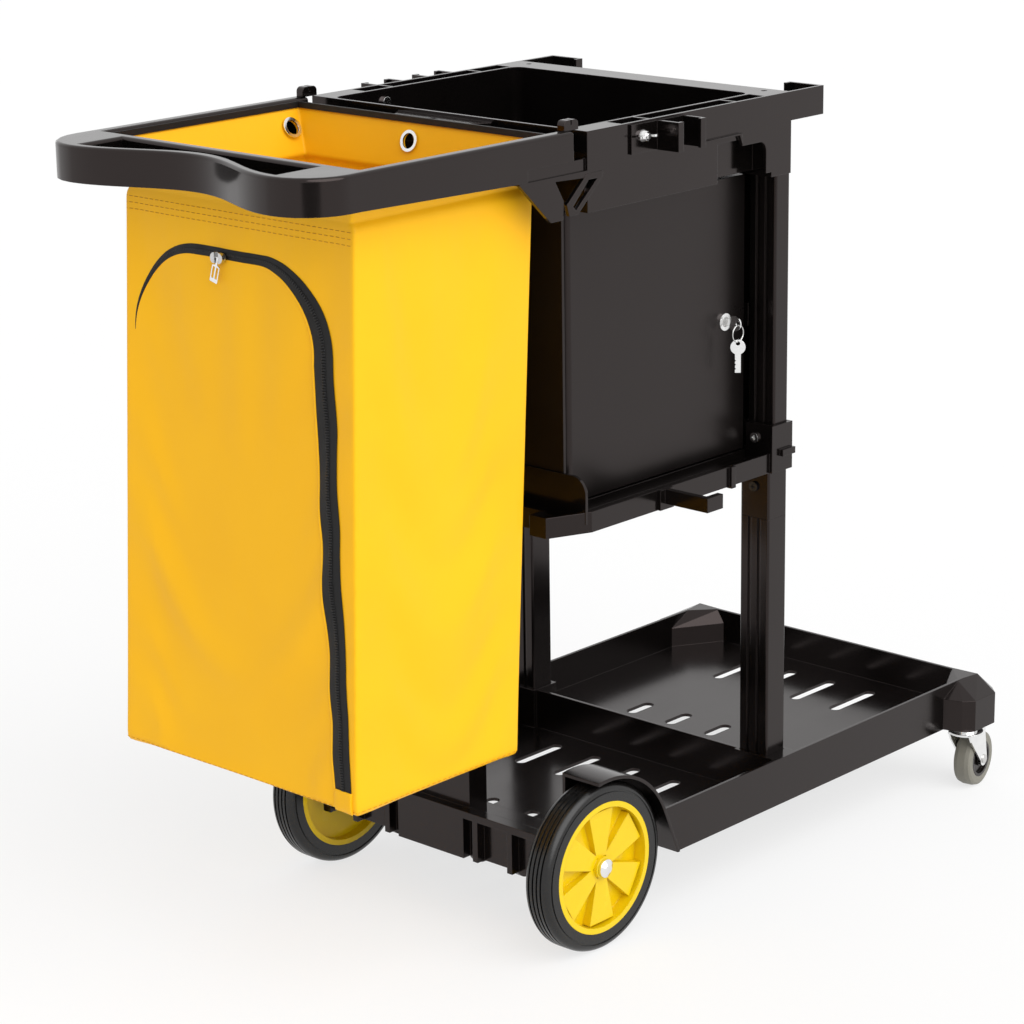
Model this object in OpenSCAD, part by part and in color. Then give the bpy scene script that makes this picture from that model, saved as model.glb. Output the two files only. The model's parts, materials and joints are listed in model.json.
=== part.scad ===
// Janitor cart: a moulded wheeled base with two posts, a middle shelf, a lockable
// cabinet, a top bin, and a handle frame that carries a zipped vinyl bag.
// Lengths are millimetres. Inside the modules X runs towards the casters from a datum just
// behind the rear axle, Y runs from the mid-plane, with the door on the -Y side, and Z is up
// from the floor.

/* [Base] */
// Width across the base walls
base_w = 465; // [450:1:490]
// Distance from the datum to the front end wall
base_front = 760; // [730:1:800]
// Distance from the datum back to the rear wall
base_rear = 38; // [34:1:42]
// Height of the lower edge of the base walls
base_bottom = 84; // [84:0.5:88]
// Height of the upper edge of the base walls
base_top = 144; // [140:1:152]
// Wall of the moulded pieces
wall = 4; // [3.5:0.1:4.5]
// Top face of the front tray's floor
front_floor = 99; // [97:1:108]
// Top face of the rear tray's floor
rear_floor = 92; // [90:0.5:95]
// Thickness of the rear wall, with its pockets
rear_wall = 16; // [13:1:18]
// Depth of the pockets in the rear wall
pocket_deep = 12; // [6:1:12]
// Width of the plain block in the middle of the rear wall
rear_block_w = 108; // [90:1:120]
// Height of the pedestal behind the rear wall
pedestal_top = 239; // [200:1:248]
// Depth of the pedestal along the cart
pedestal_l = 30; // [26:1:40]
// Width of a drain slot
slot_w = 16; // [10:1:18]
// Distance between neighbouring drain slots
slot_pitch = 66; // [50:1:72]

/* [Rear wheels] */
// Diameter of a rear wheel
wheel_d = 204; // [198:1:208]
// Width of a rear tyre
tyre_w = 36; // [32:1:40]
// Diameter of the wheel rim inside the tyre
rim_d = 160; // [150:1:168]
// How far the tyre's outer face stands in from the base wall
wheel_in = 4; // [2:1:8]
// Distance from the datum to the rear axle
axle_x = 16; // [12:1:20]
// Gap between the tyre and the wheel arch
arch_gap = 6; // [5:0.5:12]
// How far the wheel arch stands out of the base wall
arch_out = 3; // [1:1:8]
// How far the wheel arch reaches behind the axle
arch_rear = 17; // [8:1:24]
// Diameter of the rear axle
axle_d = 12; // [10:0.5:14]
// Number of spokes in a hub
spokes = 6; // [5:1:7]
// Number of grooves round a tyre
tread_grooves = 4; // [2:1:5]

/* [Casters] */
// Diameter of a caster wheel
caster_d = 74; // [70:1:76]
// Width of a caster wheel
caster_w = 24; // [20:1:26]
// Distance from the swivel axis back to the wheel's axle
caster_trail = 24; // [18:1:26]
// Turn of the casters about their stems as they stand
caster_turn = 8; // [0:1:30]
// Distance from the front end wall back to the swivel axis
caster_back = 46; // [42:1:52]
// Distance from the base wall out to the swivel axis
caster_out = 20; // [14:1:22]
// Diameter of the caster's kingpin
kingpin_d = 10; // [8:0.5:12]
// Diameter of the caster wheel's axle
caster_axle_d = 8; // [6:0.5:9]
// Sheet thickness of the caster fork
fork_t = 2.6; // [2:0.1:2.8]

/* [Upper frame] */
// Width across the upper frame
upper_w = 429; // [420:1:440]
// Distance from the datum to the posts
post_x = 337; // [325:1:345]
// Length of a lower post's section along the cart
post_l = 36; // [32:1:40]
// Depth of a lower post's section across the cart
post_d = 43; // [42:0.5:46]
// Length of an upper post's section along the cart
upper_l = 27; // [25:0.5:29]
// Depth of an upper post's section across the cart
upper_d = 40; // [37:0.5:41]
// Wall of a post
post_t = 3; // [2.5:0.1:4]
// Height of the shelf's lower edge
shelf_z = 506; // [495:1:518]
// Height of the shelf's rim band
shelf_h = 24; // [22:1:28]
// How far the shelf reaches behind the datum
shelf_rear = 39; // [30:1:45]
// Height of the end wall that rises from the shelf's rim
end_wall_h = 42; // [30:1:50]
// Length of the post sleeves under the shelf
sleeve_down = 59; // [40:1:70]
// Height of the post sockets above the shelf's rim
sleeve_up = 34; // [26:1:40]
// Height of the top tray's upper edge
tray_top = 961; // [950:1:963]
// Height of the top tray's skirt
tray_h = 90; // [82:1:96]
// Distance from the datum to the tray's rear wall
tray_rear = 11; // [10:0.5:12]
// Width of the rim along the tray's sides
rim_w = 30; // [26:1:34]
// Length of the hanging arms past the posts
arm_l = 62; // [50:1:80]
// Height of a hanging arm
arm_h = 34; // [28:1:40]
// Length of the return at the end of a hanging arm
arm_return = 50; // [44:1:60]

/* [Cabinet] */
// How far the door is set back from the side of the upper frame
door_set = 38; // [34:1:42]
// Thickness of the door
door_t = 16; // [14:1:18]
// Gap round the door
door_gap = 2; // [1.5:0.1:3]
// Diameter of the door's hinge pins
hinge_d = 8; // [6:0.5:9]
// Thickness of the cabinet panels
panel_t = 4; // [3:0.1:4.5]
// Distance from the door's free edge to the lock
lock_edge = 38; // [30:1:42]
// Height of the lock above the shelf's rim
lock_up = 164; // [120:1:220]
// Diameter of the lock's barrel
barrel_d = 16; // [15:0.5:18]
// Diameter of the turning plug in the lock
plug_d = 12; // [10:0.5:12.5]
// Length of the lock's cam from its axis
cam_l = 56; // [52:1:58]
// Diameter of a key's head
key_head_d = 18; // [16:1:20]
// Diameter of the key ring at the middle of its wire
ring_d = 20; // [18:1:24]

/* [Bag frame] */
// How far the bag frame's upper edge stands above the tray's
frame_top = 3; // [1:0.5:9]
// Height of the rails at the handle
rail_h = 40; // [36:1:44]
// How much deeper the rails are at the tray end
rail_drop = 6; // [3:1:8]
// Wall of the rails and the handle's outer bar
rail_t = 5; // [4:0.5:6]
// Width of the rails' top face
rail_w = 16; // [14:1:20]
// Distance from the datum back to the bar that holds the bag
inner_bar_x = 321; // [310:1:330]
// Width of that bar
inner_bar_w = 15; // [12:1:18]
// Distance from the datum back to the handle's middle
handle_mid = 365; // [360:1:375]
// How much further back the handle's corners reach
handle_bow = 43; // [30:1:50]
// Thickness of the handle's outer bar
handle_t = 15; // [12:1:16]
// Radius of the handle's corners
handle_r = 58; // [44:1:62]
// Gap between the rails and the tray
frame_gap = 22; // [20:1:23]

/* [Bag] */
// Height of the bag's bottom
bag_bottom = 266; // [260:1:280]
// How far below the frame's upper edge the bag begins to flare
bag_neck = 60; // [56:1:79]
// Thickness of the bag's vinyl, drawn thicker than the sheet
bag_t = 3; // [2:0.5:4]
// Depth of the bag along the cart, at its bottom
bag_l = 261; // [240:1:270]
// Width of the bag at its bottom
bag_w = 366; // [350:1:370]
// How far the bag's neck stands in from the bar at the handle
neck_in = 9; // [6:1:14]
// How far the bag's bottom hangs out behind its neck
bag_lean = 31; // [20:1:36]
// Width of the bag's neck
neck_w = 342; // [330:1:350]
// Height of the binding round the bag's mouth
hem_h = 7; // [5:1:9]
// Width of the zip's tape
zip_w = 18; // [12:0.5:20]
// Radius of the zip's turns
zip_r = 106; // [90:1:112]
// How far below the bag's neck the zip's top lies
zip_top = 51; // [40:1:80]
// Outer diameter of an eyelet
eyelet_d = 25; // [20:1:27]

/* [Tool holders and hooks] */
// Distance from the tray's rear wall to a holder's first jaw
jaw_x = 115; // [100:1:125]
// Gap between two jaws of a holder
jaw_gap = 40; // [34:1:46]
// How far the jaws stand out
jaw_out = 31; // [24:1:36]
// Diameter of the holder's bolt
bolt_d = 6; // [5:0.5:8]
// How far the hooks stand out of the shelf
hook_out = 67; // [55:1:75]
// Length of a hook's end along the cart
hook_l = 28; // [22:1:34]
// Distance from the datum to a hook
hook_x = 138; // [110:1:160]

/* [Fits] */
// Radial clearance of turning fits
turn_fit = 0.05; // [0.03:0.01:0.09]
// Clearance round pieces that slide together and stay
slip_fit = 0.2; // [0.15:0.05:0.3]
// Gap between moving pieces that pass each other
run_gap = 0.3; // [0.25:0.05:0.4]

/* [Hidden] */
$fn = 64;

black = "#24211f";
grey = "#8f8d80";
yellow = "#f5c02c";
lemon = "#f2e02a";
zinc = "#c9ccd0";
steel = "#9fa3a8";

near = -1;
far = 1;
over = 1;                        // how far a cut runs past the face it opens
hw = base_w / 2;                 // half the base's width
hu = upper_w / 2;                // half the upper frame's width
axle_z = wheel_d / 2;
frame_z = tray_top + frame_top;     // height of the bag frame's upper edge
neck_z = frame_z - bag_neck;         // height at which the bag begins to flare
block_out = caster_out + 16;     // how far a caster block stands out of the base wall
block_front = 12;                // how far a caster block stands out of the end wall
handle_x = -(handle_mid + handle_bow);
mid_x = (base_front + block_front + handle_x) / 2;

module at_origin() {
    translate([-mid_x, 0, 0]) children();
}

// Pieces in pairs are drawn on the far side, and mirrored for the near side.
module on_side(side) {
    if (side == near) mirror([0, 1, 0]) children();
    else children();
}

// A flat outline in X and Z, given thickness from y0 to y1.
module xz_plate(y0, y1) {
    translate([0, y1, 0]) rotate([90, 0, 0]) linear_extrude(y1 - y0) children();
}

module box(low, high) {
    translate(low) cube(high - low);
}

// A rectangle with round corners.
module round_rect(low, high, r) {
    size = high - low;
    translate(low) {
        translate([r, 0]) square([size[0] - 2 * r, size[1]]);
        translate([0, r]) square([size[0], size[1] - 2 * r]);
        for (x = [r, size[0] - r]) for (y = [r, size[1] - r]) translate([x, y]) circle(r);
    }
}

// An axis across the cart through a point, with +Z of the children along +Y.
module across(x, y, z) {
    translate([x, y, z]) rotate([-90, 0, 0]) children();
}

// Base

tyre_out = hw - wheel_in;               // the tyre's outer face
spacer_l = 9;                            // axle spacer between a hub and the base
well_y = tyre_out - tyre_w - spacer_l - wall;   // inner face of a wheel well's wall
arch_r = wheel_d / 2 + arch_gap;
arch_a = 23;                             // where the arch leaves its circle for a straight line
arch_low = base_bottom - axle_z;         // the arch's foot, measured from the axle
tunnel_l = 48;
tunnel_top = axle_z + 22;
bracket_w = 8;
bracket_r = 20;
bracket_low = 23;                        // bracket's round end below the axle
bracket_ys = [34, 104];
pocket_rib = 8;
pocket_top = 9;                          // solid strip above a rear pocket
narrow_pocket = 15;
wide_pocket = 47;
plinth_t = 4;                            // wall of the plinths that hold the posts
divider_x = post_x + 1;
inner_hw = hw - wall;
block_taper = 18;                        // height of a caster block's sloped top

function arch_foot(r) = r * cos(arch_a) + (r * sin(arch_a) - arch_low) * tan(arch_a);

module arch_outline(r) {
    circle(r);
    polygon([[0, 0], [r * cos(arch_a), r * sin(arch_a)], [arch_foot(r), arch_low], [0, arch_low]]);
}

module arch_window() {
    translate([-arch_rear, arch_low]) square([base_front / 2, 2 * arch_r]);
}

module wheel_arch() {
    translate([axle_x, 0, axle_z]) {
        xz_plate(well_y, hw + arch_out) intersection() {
            difference() {
                arch_outline(arch_r + wall);
                arch_outline(arch_r);
            }
            arch_window();
        }
        xz_plate(well_y, well_y + wall) {
            intersection() {
                arch_outline(arch_r + wall);
                arch_window();
            }
            translate([-base_rear - axle_x, arch_low]) square([base_rear + axle_x, base_top - base_bottom]);
        }
    }
}

module caster_block() {
    f = base_front;
    foot = [[-70, -4], [-61, block_out - 12], [-48, block_out], [-3, block_out],
        [block_front, block_out - 15], [block_front, -25], [-wall, -44]];
    head = [[-36, -wall / 2], [2, wall], [0, -35]];
    translate([f, hw, 0]) hull() {
        translate([0, 0, base_bottom]) linear_extrude(base_top - base_bottom - block_taper) polygon(foot);
        translate([0, 0, base_top - wall]) linear_extrude(wall) polygon(head);
    }
}

module base_walls() {
    difference() {
        box([-base_rear, -hw, base_bottom], [base_front, hw, base_top]);
        box([divider_x + wall, -inner_hw, front_floor], [base_front - wall, inner_hw, base_top + over]);
        box([rear_wall - base_rear, -inner_hw, rear_floor], [divider_x, inner_hw, base_top + over]);
        box([divider_x + wall, -inner_hw, base_bottom - over],
            [base_front - wall, inner_hw, front_floor - wall]);
        box([rear_wall - base_rear, -inner_hw, base_bottom - over],
            [divider_x, inner_hw, rear_floor - wall]);
        for (side = [near, far]) on_side(side) {
            translate([axle_x, 0, axle_z]) xz_plate(well_y + wall, hw + over) {
                arch_outline(arch_r);
                translate([-base_rear - axle_x - over, arch_low - over])
                    square([base_rear + axle_x + over, base_top - base_bottom + 2 * over]);
            }
            rear_pockets();
        }
    }
}

// Beside the block there is a narrow pocket, a wide one and one that ends at the wheel well.
module rear_pockets() {
    y0 = rear_block_w / 2;
    y1 = y0 + narrow_pocket + pocket_rib;
    y2 = y1 + wide_pocket + pocket_rib;
    for (span = [[y0, y1 - pocket_rib], [y1, y2 - pocket_rib], [y2, well_y - pocket_rib]])
        box([-base_rear - over, span[0], base_bottom - over],
            [pocket_deep - base_rear, span[1], base_top - pocket_top]);
}

module drain_slot(x0, x1, y, z) {
    r = slot_w / 2;
    translate([0, y, z - wall - over]) linear_extrude(wall + 2 * over) {
        translate([x0 + r, -r]) square([x1 - x0 - 2 * r, slot_w]);
        for (x = [x0 + r, x1 - r]) translate([x, 0]) circle(r);
    }
}

module drain_slots() {
    front_rows = [[106, 153], [288, 380]];   // measured from the divider
    rear_rows = [[-290, -222], [-114, -31]];
    for (i = [-1.5:1:1.5]) {
        y = i * slot_pitch;
        for (row = front_rows) drain_slot(divider_x + row[0], divider_x + row[1], y, front_floor);
        for (row = rear_rows) drain_slot(divider_x + row[0], divider_x + row[1], y, rear_floor);
    }
}

module axle_bracket(y) {
    translate([axle_x, 0, axle_z]) xz_plate(y - bracket_w / 2, y + bracket_w / 2) {
        translate([0, -bracket_low]) circle(bracket_r);
        translate([-bracket_r, -bracket_low])
            square([2 * bracket_r, tunnel_top - axle_z + bracket_low - wall / 2]);
    }
}

pedestal_x0 = rear_wall - base_rear - wall;

module axle_tunnel() {
    difference() {
        union() {
            box([axle_x - tunnel_l / 2, -well_y - wall / 2, rear_floor - wall / 2],
                [axle_x + tunnel_l / 2, well_y + wall / 2, tunnel_top]);
            box([pedestal_x0, -rear_block_w / 2, rear_floor - wall / 2],
                [pedestal_x0 + pedestal_l, rear_block_w / 2, pedestal_top]);
        }
        box([axle_x + wall - tunnel_l / 2, -well_y, 0],
            [axle_x + tunnel_l / 2 - wall, well_y, tunnel_top - wall]);
        box([pedestal_x0 + wall, wall - rear_block_w / 2, 0],
            [pedestal_x0 + pedestal_l - wall, rear_block_w / 2 - wall, pedestal_top - wall]);
    }
}

// The floor is open under the tunnel and the pedestal, as in the moulding.
module tunnel_mouth() {
    box([axle_x + wall - tunnel_l / 2, -well_y, base_bottom - over],
        [axle_x + tunnel_l / 2 - wall, well_y, rear_floor + over]);
    box([pedestal_x0 + wall, wall - rear_block_w / 2, base_bottom - over],
        [pedestal_x0 + pedestal_l - wall, rear_block_w / 2 - wall, rear_floor + over]);
}

module post_plinth() {
    box([post_x - plinth_t, hu - post_d - plinth_t, rear_floor - wall / 2],
        [post_x + post_l + plinth_t, inner_hw + wall / 2, base_top]);
}

module base() {
    color(black) at_origin() difference() {
        union() {
            difference() {
                base_walls();
                tunnel_mouth();
                drain_slots();
            }
            axle_tunnel();
            for (side = [near, far]) on_side(side) {
                wheel_arch();
                caster_block();
                post_plinth();
                for (y = bracket_ys) axle_bracket(y);
            }
        }
        across(axle_x, -hw, axle_z) cylinder(d = axle_d + 2 * turn_fit, h = base_w);
        for (side = [near, far]) on_side(side) {
            translate([post_x - slip_fit, hu - post_d - slip_fit, front_floor])
                cube([post_l + 2 * slip_fit, post_d + 2 * slip_fit, base_top]);
            translate([caster_x, caster_y, base_bottom - over])
                cylinder(d = kingpin_d + 2 * turn_fit, h = stem_up + over);
        }
    }
}

// Rear axle and wheels

cap_l = 6;
cap_d = 22;
spacer_d = 26;
boss_d = 27;
web_t = 6;
web_dish = 5;            // how far the web falls back from the boss to the rim
rim_t = 7;
spoke_rise = 7;          // how far the spokes rise from the web
groove_w = 2.4;
groove_deep = 2.5;
tyre_round = 9;          // roll of the tyre's shoulders

module rear_axle() {
    color(steel) at_origin() across(axle_x, -tyre_out - cap_l / 2, axle_z)
        cylinder(d = axle_d, h = 2 * tyre_out + cap_l);
}

module axle_spacers() {
    color(zinc) at_origin() for (side = [near, far]) on_side(side)
        across(axle_x, well_y + wall, axle_z) difference() {
            cylinder(d = spacer_d, h = spacer_l - run_gap);
            translate([0, 0, -over]) cylinder(d = axle_d + 2 * turn_fit, h = spacer_l + 2 * over);
        }
}

// A push cap closes each end of the axle, with a shallow dome.
module axle_caps() {
    color(zinc) at_origin() for (side = [near, far]) on_side(side)
        across(axle_x, tyre_out + run_gap, axle_z) difference() {
            union() {
                cylinder(d = cap_d, h = cap_l / 2);
                translate([0, 0, cap_l / 2]) cylinder(d1 = cap_d, d2 = cap_d / 2, h = cap_l / 2);
            }
            translate([0, 0, -over]) cylinder(d = axle_d + 2 * turn_fit, h = cap_l / 2 - run_gap + over);
        }
}

module tyre_section() {
    r1 = wheel_d / 2;
    r0 = rim_d / 2;
    difference() {
        union() {
            translate([r0, 0]) square([r1 - r0 - tyre_round, tyre_w]);
            translate([r1 - 2 * tyre_round, tyre_round]) square([2 * tyre_round, tyre_w - 2 * tyre_round]);
            for (y = [tyre_round, tyre_w - tyre_round]) translate([r1 - tyre_round, y]) circle(tyre_round);
        }
        pitch = (tyre_w - 2 * tyre_round) / (tread_grooves - 1);
        for (i = [0:tread_grooves - 1])
            translate([r1 - groove_deep, tyre_round + i * pitch - groove_w / 2])
                square([2 * groove_deep, groove_w]);
        for (y = [-over, tyre_w - groove_deep / 2])
            translate([(r0 + r1) / 2, y]) square([groove_w, groove_deep / 2 + over]);
    }
}

module tyre(side) {
    color(black) at_origin() on_side(side) across(axle_x, tyre_out - tyre_w, axle_z)
        rotate_extrude($fn = 96) tyre_section();
}

// Each spoke is a wedge, narrow at the boss and wide at the rim.
module spoke_outline() {
    r0 = boss_d / 2 - over;
    r1 = rim_d / 2 - 1.6 * rim_t;
    w0 = boss_d / 1.6;
    w1 = rim_d / 3.8;
    polygon([[r0, -w0 / 2], [r1, -w1 / 2], [r1, w1 / 2], [r0, w0 / 2]]);
}

// A hub's section: the rim, the boss and the dished web between them.
module hub_section(web_z) {
    r0 = boss_d / 2;
    r1 = rim_d / 2 - rim_t;
    translate([r1, 0]) square([rim_t - slip_fit, tyre_w]);
    square([r0, tyre_w - run_gap]);
    polygon([[r0 - over, web_z], [r1 + over, web_z - web_dish], [r1 + over, web_z - web_dish + web_t],
        [r0 - over, web_z + web_t]]);
}

module hub(side) {
    web_z = tyre_w / 2;
    spoke_z = web_z + web_t - web_dish - over / 2;
    color(lemon) at_origin() on_side(side) across(axle_x, tyre_out - tyre_w, axle_z) difference() {
        union() {
            rotate_extrude($fn = 96) hub_section(web_z);
            for (i = [0:spokes - 1]) rotate((i + 0.5) * 360 / spokes)
                translate([0, 0, spoke_z])
                    linear_extrude(web_z + web_t + spoke_rise - spoke_z) spoke_outline();
        }
        translate([0, 0, -over]) cylinder(d = axle_d + 2 * turn_fit, h = tyre_w + 2 * over);
    }
}

// Casters

caster_x = base_front - caster_back;
caster_y = hw + caster_out;
stem_up = 42;                            // kingpin's length inside the block
race_t = 1.9;                            // bearing race between the block and the fork
race_d = 32;
crown_top = base_bottom - race_t - run_gap / 2;
crown_low = crown_top - fork_t;
crown_d = 46;
rivet_t = 1.6;
rivet_d = 18;
core_d = 0.66 * caster_d;
leg_y = caster_w / 2 + 1.5;              // inner face of a fork leg
leg_end_r = 9;

module at_caster(side) {
    at_origin() on_side(side) translate([caster_x, caster_y, 0]) rotate(-caster_turn) children();
}

// The kingpin is fast in the base, with the race above the fork and a riveted head below it.
module caster_stem(side) {
    color(zinc) at_caster(side) {
        translate([0, 0, crown_low - run_gap / 2])
            cylinder(d = kingpin_d, h = base_bottom + stem_up - crown_low);
        translate([0, 0, base_bottom - race_t]) cylinder(d = race_d, h = race_t);
        translate([0, 0, crown_low - run_gap / 2 - rivet_t]) cylinder(d = rivet_d, h = rivet_t);
    }
}

// A leg is a sheet that narrows from the crown to a round end at the axle.
module fork_leg_outline() {
    axle_up = caster_d / 2;
    polygon([[-crown_d * 0.42, crown_top], [crown_d * 0.55, crown_top],
        [caster_trail + leg_end_r, axle_up], [caster_trail - leg_end_r, axle_up],
        [-crown_d * 0.30, crown_low - crown_d * 0.18]]);
    translate([caster_trail, axle_up]) circle(leg_end_r);
}

module caster_fork(side) {
    color(zinc) at_caster(side) difference() {
        union() {
            translate([0, 0, crown_low]) cylinder(d = crown_d, h = fork_t);
            box([-crown_d * 0.42, -leg_y - fork_t, crown_low], [crown_d * 0.55, leg_y + fork_t, crown_top]);
            for (side_y = [-1, 1])
                xz_plate(side_y * (leg_y + fork_t / 2) - fork_t / 2,
                    side_y * (leg_y + fork_t / 2) + fork_t / 2)
                    fork_leg_outline();
        }
        translate([0, 0, crown_low - over]) cylinder(d = kingpin_d + 2 * turn_fit, h = fork_t + 2 * over);
        across(caster_trail, -2 * caster_w, caster_d / 2)
            cylinder(d = caster_axle_d + 2 * turn_fit, h = 4 * caster_w);
    }
}

module caster_axle(side) {
    span = leg_y + fork_t;
    color(steel) at_caster(side) across(caster_trail, 0, caster_d / 2) {
        cylinder(d = caster_axle_d, h = 2 * span, center = true);
        for (end = [-1, 1]) translate([0, 0, end * (span + rivet_t / 2)])
            cylinder(d = caster_axle_d + 4, h = rivet_t, center = true);
    }
}

module caster_tread(side) {
    r1 = caster_d / 2;
    r0 = core_d / 2;
    round_w = caster_w / 5;
    color(grey) at_caster(side) across(caster_trail, -caster_w / 2, caster_d / 2) rotate_extrude()
        polygon([[r0, 0], [r1 - round_w, 0], [r1 - round_w / 3, round_w / 3], [r1, round_w * 1.4],
            [r1, caster_w - round_w * 1.4], [r1 - round_w / 3, caster_w - round_w / 3],
            [r1 - round_w, caster_w], [r0, caster_w]]);
}

module caster_core(side) {
    dish = 4;
    color(black) at_caster(side) across(caster_trail, -caster_w / 2, caster_d / 2) difference() {
        cylinder(d = core_d - 2 * slip_fit, h = caster_w);
        for (z = [-over, caster_w - dish]) translate([0, 0, z]) difference() {
            cylinder(d = core_d - 2 * dish, h = dish + over);
            translate([0, 0, -over]) cylinder(d = core_d / 2.4, h = dish + 3 * over);
        }
        translate([0, 0, -over]) cylinder(d = caster_axle_d + 2 * turn_fit, h = caster_w + 2 * over);
    }
}

// Posts

post_groove = 2;
post_groove_w = 5;
post_round = 3;                          // radius of the posts' corners
post_skin = post_t + post_groove;
upper_x = post_x + post_l - upper_l;
strike_in = 8;                           // how far the strike reaches behind the door's back
strike_l = 7;
strike_h = 28;
tray_bottom = tray_top - tray_h;
leg_bottom = tray_bottom - 6;

module post_section(l, d) {
    difference() {
        round_rect([0, 0], [l, d], post_round);
        translate([post_skin, post_skin]) square([l - 2 * post_skin, d - 2 * post_skin]);
        for (k = [1, 2]) {
            translate([-over, k * d / 3 - post_groove_w / 2]) square([post_groove + over, post_groove_w]);
            translate([l - post_groove, k * d / 3 - post_groove_w / 2])
                square([post_groove + over, post_groove_w]);
        }
    }
}

module lower_post(side) {
    color(black) at_origin() on_side(side) translate([post_x, hu - post_d, front_floor])
        linear_extrude(stub_z - front_floor) post_section(post_l, post_d);
}

module upper_post(side) {
    color(black) at_origin() on_side(side) translate([upper_x, hu - upper_d, socket_z])
        linear_extrude(leg_bottom - socket_z) post_section(upper_l, upper_d);
}

// The lock's cam turns behind this block, which is fast on the near upper post.
module strike() {
    color(black) at_origin() on_side(near)
        box([upper_x, door_back - strike_in, lock_z - strike_h / 2],
            [upper_x + strike_l, hu - upper_d, lock_z + strike_h / 2]);
}

// Middle shelf

rim_top = shelf_z + shelf_h;
deck_z = shelf_z + 12;                   // the shelf's floor
sleeve_t = 4;
stub_z = shelf_z - sleeve_down;          // where the shelf's stub leg meets the lower post
socket_z = shelf_z + 8;                  // foot of the upper post in its socket
socket_x0 = post_x + 1;
socket_x1 = post_x + post_l + slip_fit + sleeve_t;
socket_top = rim_top + sleeve_up;
shelf_front = socket_x1;
stub_plug = 30;                          // length of the stub's plug inside the lower post
nose_w = 25;
nose_l = 20;
panel_x = tray_rear - 1;                 // rear face of the cabinet's rear panel
end_wall_r = 20;
door_face = hu - door_set;               // the door's outer face, measured from the mid-plane
door_back = door_face - door_t;
hinge_y = door_face - door_t / 2;
door_x0 = panel_x + panel_t + door_gap + 1;
hinge_x = door_x0 + door_t / 2;
hinge_up = 10;                           // length of the hinge pins
sill_w = door_t + 2;
chamfer_x = 53;
chamfer_y = 22;
screw_d = 5;
screw_head_d = 12;
screw_head_h = 3;
screw_in = upper_x - socket_x0;          // the screws end at the upper post's face
screw_y = hu - post_d / 2;
screw_ats = [[socket_x0, rim_top + sleeve_up / 2], [post_x, shelf_z - sleeve_down / 3]];

module shelf_outline(inset) {
    x0 = -shelf_rear + inset;
    x1 = shelf_front - inset;
    x2 = x0 + nose_l;
    y1 = hu - inset;
    y2 = hu - chamfer_y - nose_w + inset;
    polygon([[x0, chamfer_y - y1], [x0 + chamfer_x, -y1], [x1, -y1], [x1, y1], [x0 + chamfer_x, y1],
        [x0, y1 - chamfer_y], [x0, y2], [x2, y2], [x2, -y2], [x0, -y2]]);
}

module end_wall_outline() {
    h = end_wall_h + rim_top - deck_z;
    y = hu - wall / 2;
    translate([-y, 0]) square([2 * y, h - end_wall_r]);
    translate([end_wall_r - y, 0]) square([2 * (y - end_wall_r), h]);
    for (s = [-1, 1]) translate([s * (y - end_wall_r), h - end_wall_r]) circle(end_wall_r);
}

// A stub leg with its plug goes down into the lower post, and a socket stands up round the upper one.
module shelf_leg() {
    translate([0, 0, stub_z]) linear_extrude(socket_z - stub_z)
        round_rect([post_x, hu - post_d], [post_x + post_l, hu], post_round);
    grip = post_skin + slip_fit;
    box([post_x + grip, hu - post_d + grip, stub_z - stub_plug],
        [post_x + post_l - grip, hu - grip, stub_z + over]);
    box([socket_x0, door_face + 1.5, shelf_z], [socket_x1, hu + slip_fit + sleeve_t, socket_top]);
    box([upper_x - slip_fit - sleeve_t, hu - upper_d - slip_fit - sleeve_t, shelf_z],
        [socket_x1, hu, socket_top]);
}

module post_pocket() {
    translate([upper_x - slip_fit, hu - upper_d - slip_fit, socket_z])
        cube([upper_l + 2 * slip_fit, upper_d + 2 * slip_fit, socket_top]);
}

module mid_shelf() {
    color(black) at_origin() difference() {
        union() {
            difference() {
                translate([0, 0, shelf_z]) linear_extrude(shelf_h) shelf_outline(0);
                translate([0, 0, deck_z]) linear_extrude(shelf_h) shelf_outline(wall);
                translate([0, 0, shelf_z - over]) linear_extrude(deck_z - wall - shelf_z + over)
                    shelf_outline(wall);
            }
            translate([panel_x - wall, 0, deck_z - wall / 2]) rotate([90, 0, 90]) linear_extrude(wall)
                end_wall_outline();
            for (side = [near, far]) on_side(side) {
                shelf_leg();
                box([panel_x + panel_t, door_back - 1, deck_z - wall / 2],
                    [upper_x, door_back - 1 + sill_w, rim_top]);
                // edge clip and latch tab
                box([post_x - 76, hu - wall, shelf_z - 2], [post_x - 68, hu + wall, rim_top]);
                box([post_x + post_l - 20, hu, rim_top - 5], [socket_x1, hu + sleeve_t + 5, rim_top + 3]);
            }
        }
        for (side = [near, far]) on_side(side) {
            post_pocket();
            for (at = screw_ats) translate([at[0] - over, screw_y, at[1]]) rotate([0, 90, 0])
                cylinder(d = screw_d + 2 * turn_fit, h = screw_in + slip_fit + over);
        }
        translate([hinge_x, -hinge_y, rim_top - hinge_up])
            cylinder(d = hinge_d + 2 * turn_fit, h = hinge_up + over);
    }
}

module post_screws() {
    color(zinc) at_origin() for (side = [near, far]) on_side(side) for (at = screw_ats)
        translate([at[0], screw_y, at[1]]) rotate([0, 90, 0]) {
            cylinder(d = screw_d, h = upper_x - socket_x0 - slip_fit);
            difference() {
                translate([0, 0, -screw_head_h]) cylinder(d = screw_head_d, h = screw_head_h);
                for (a = [0, 90]) rotate(a) translate([0, 0, -screw_head_h])
                    cube([screw_head_d / 2, screw_head_h / 2, screw_head_h], center = true);
            }
        }
}

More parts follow.
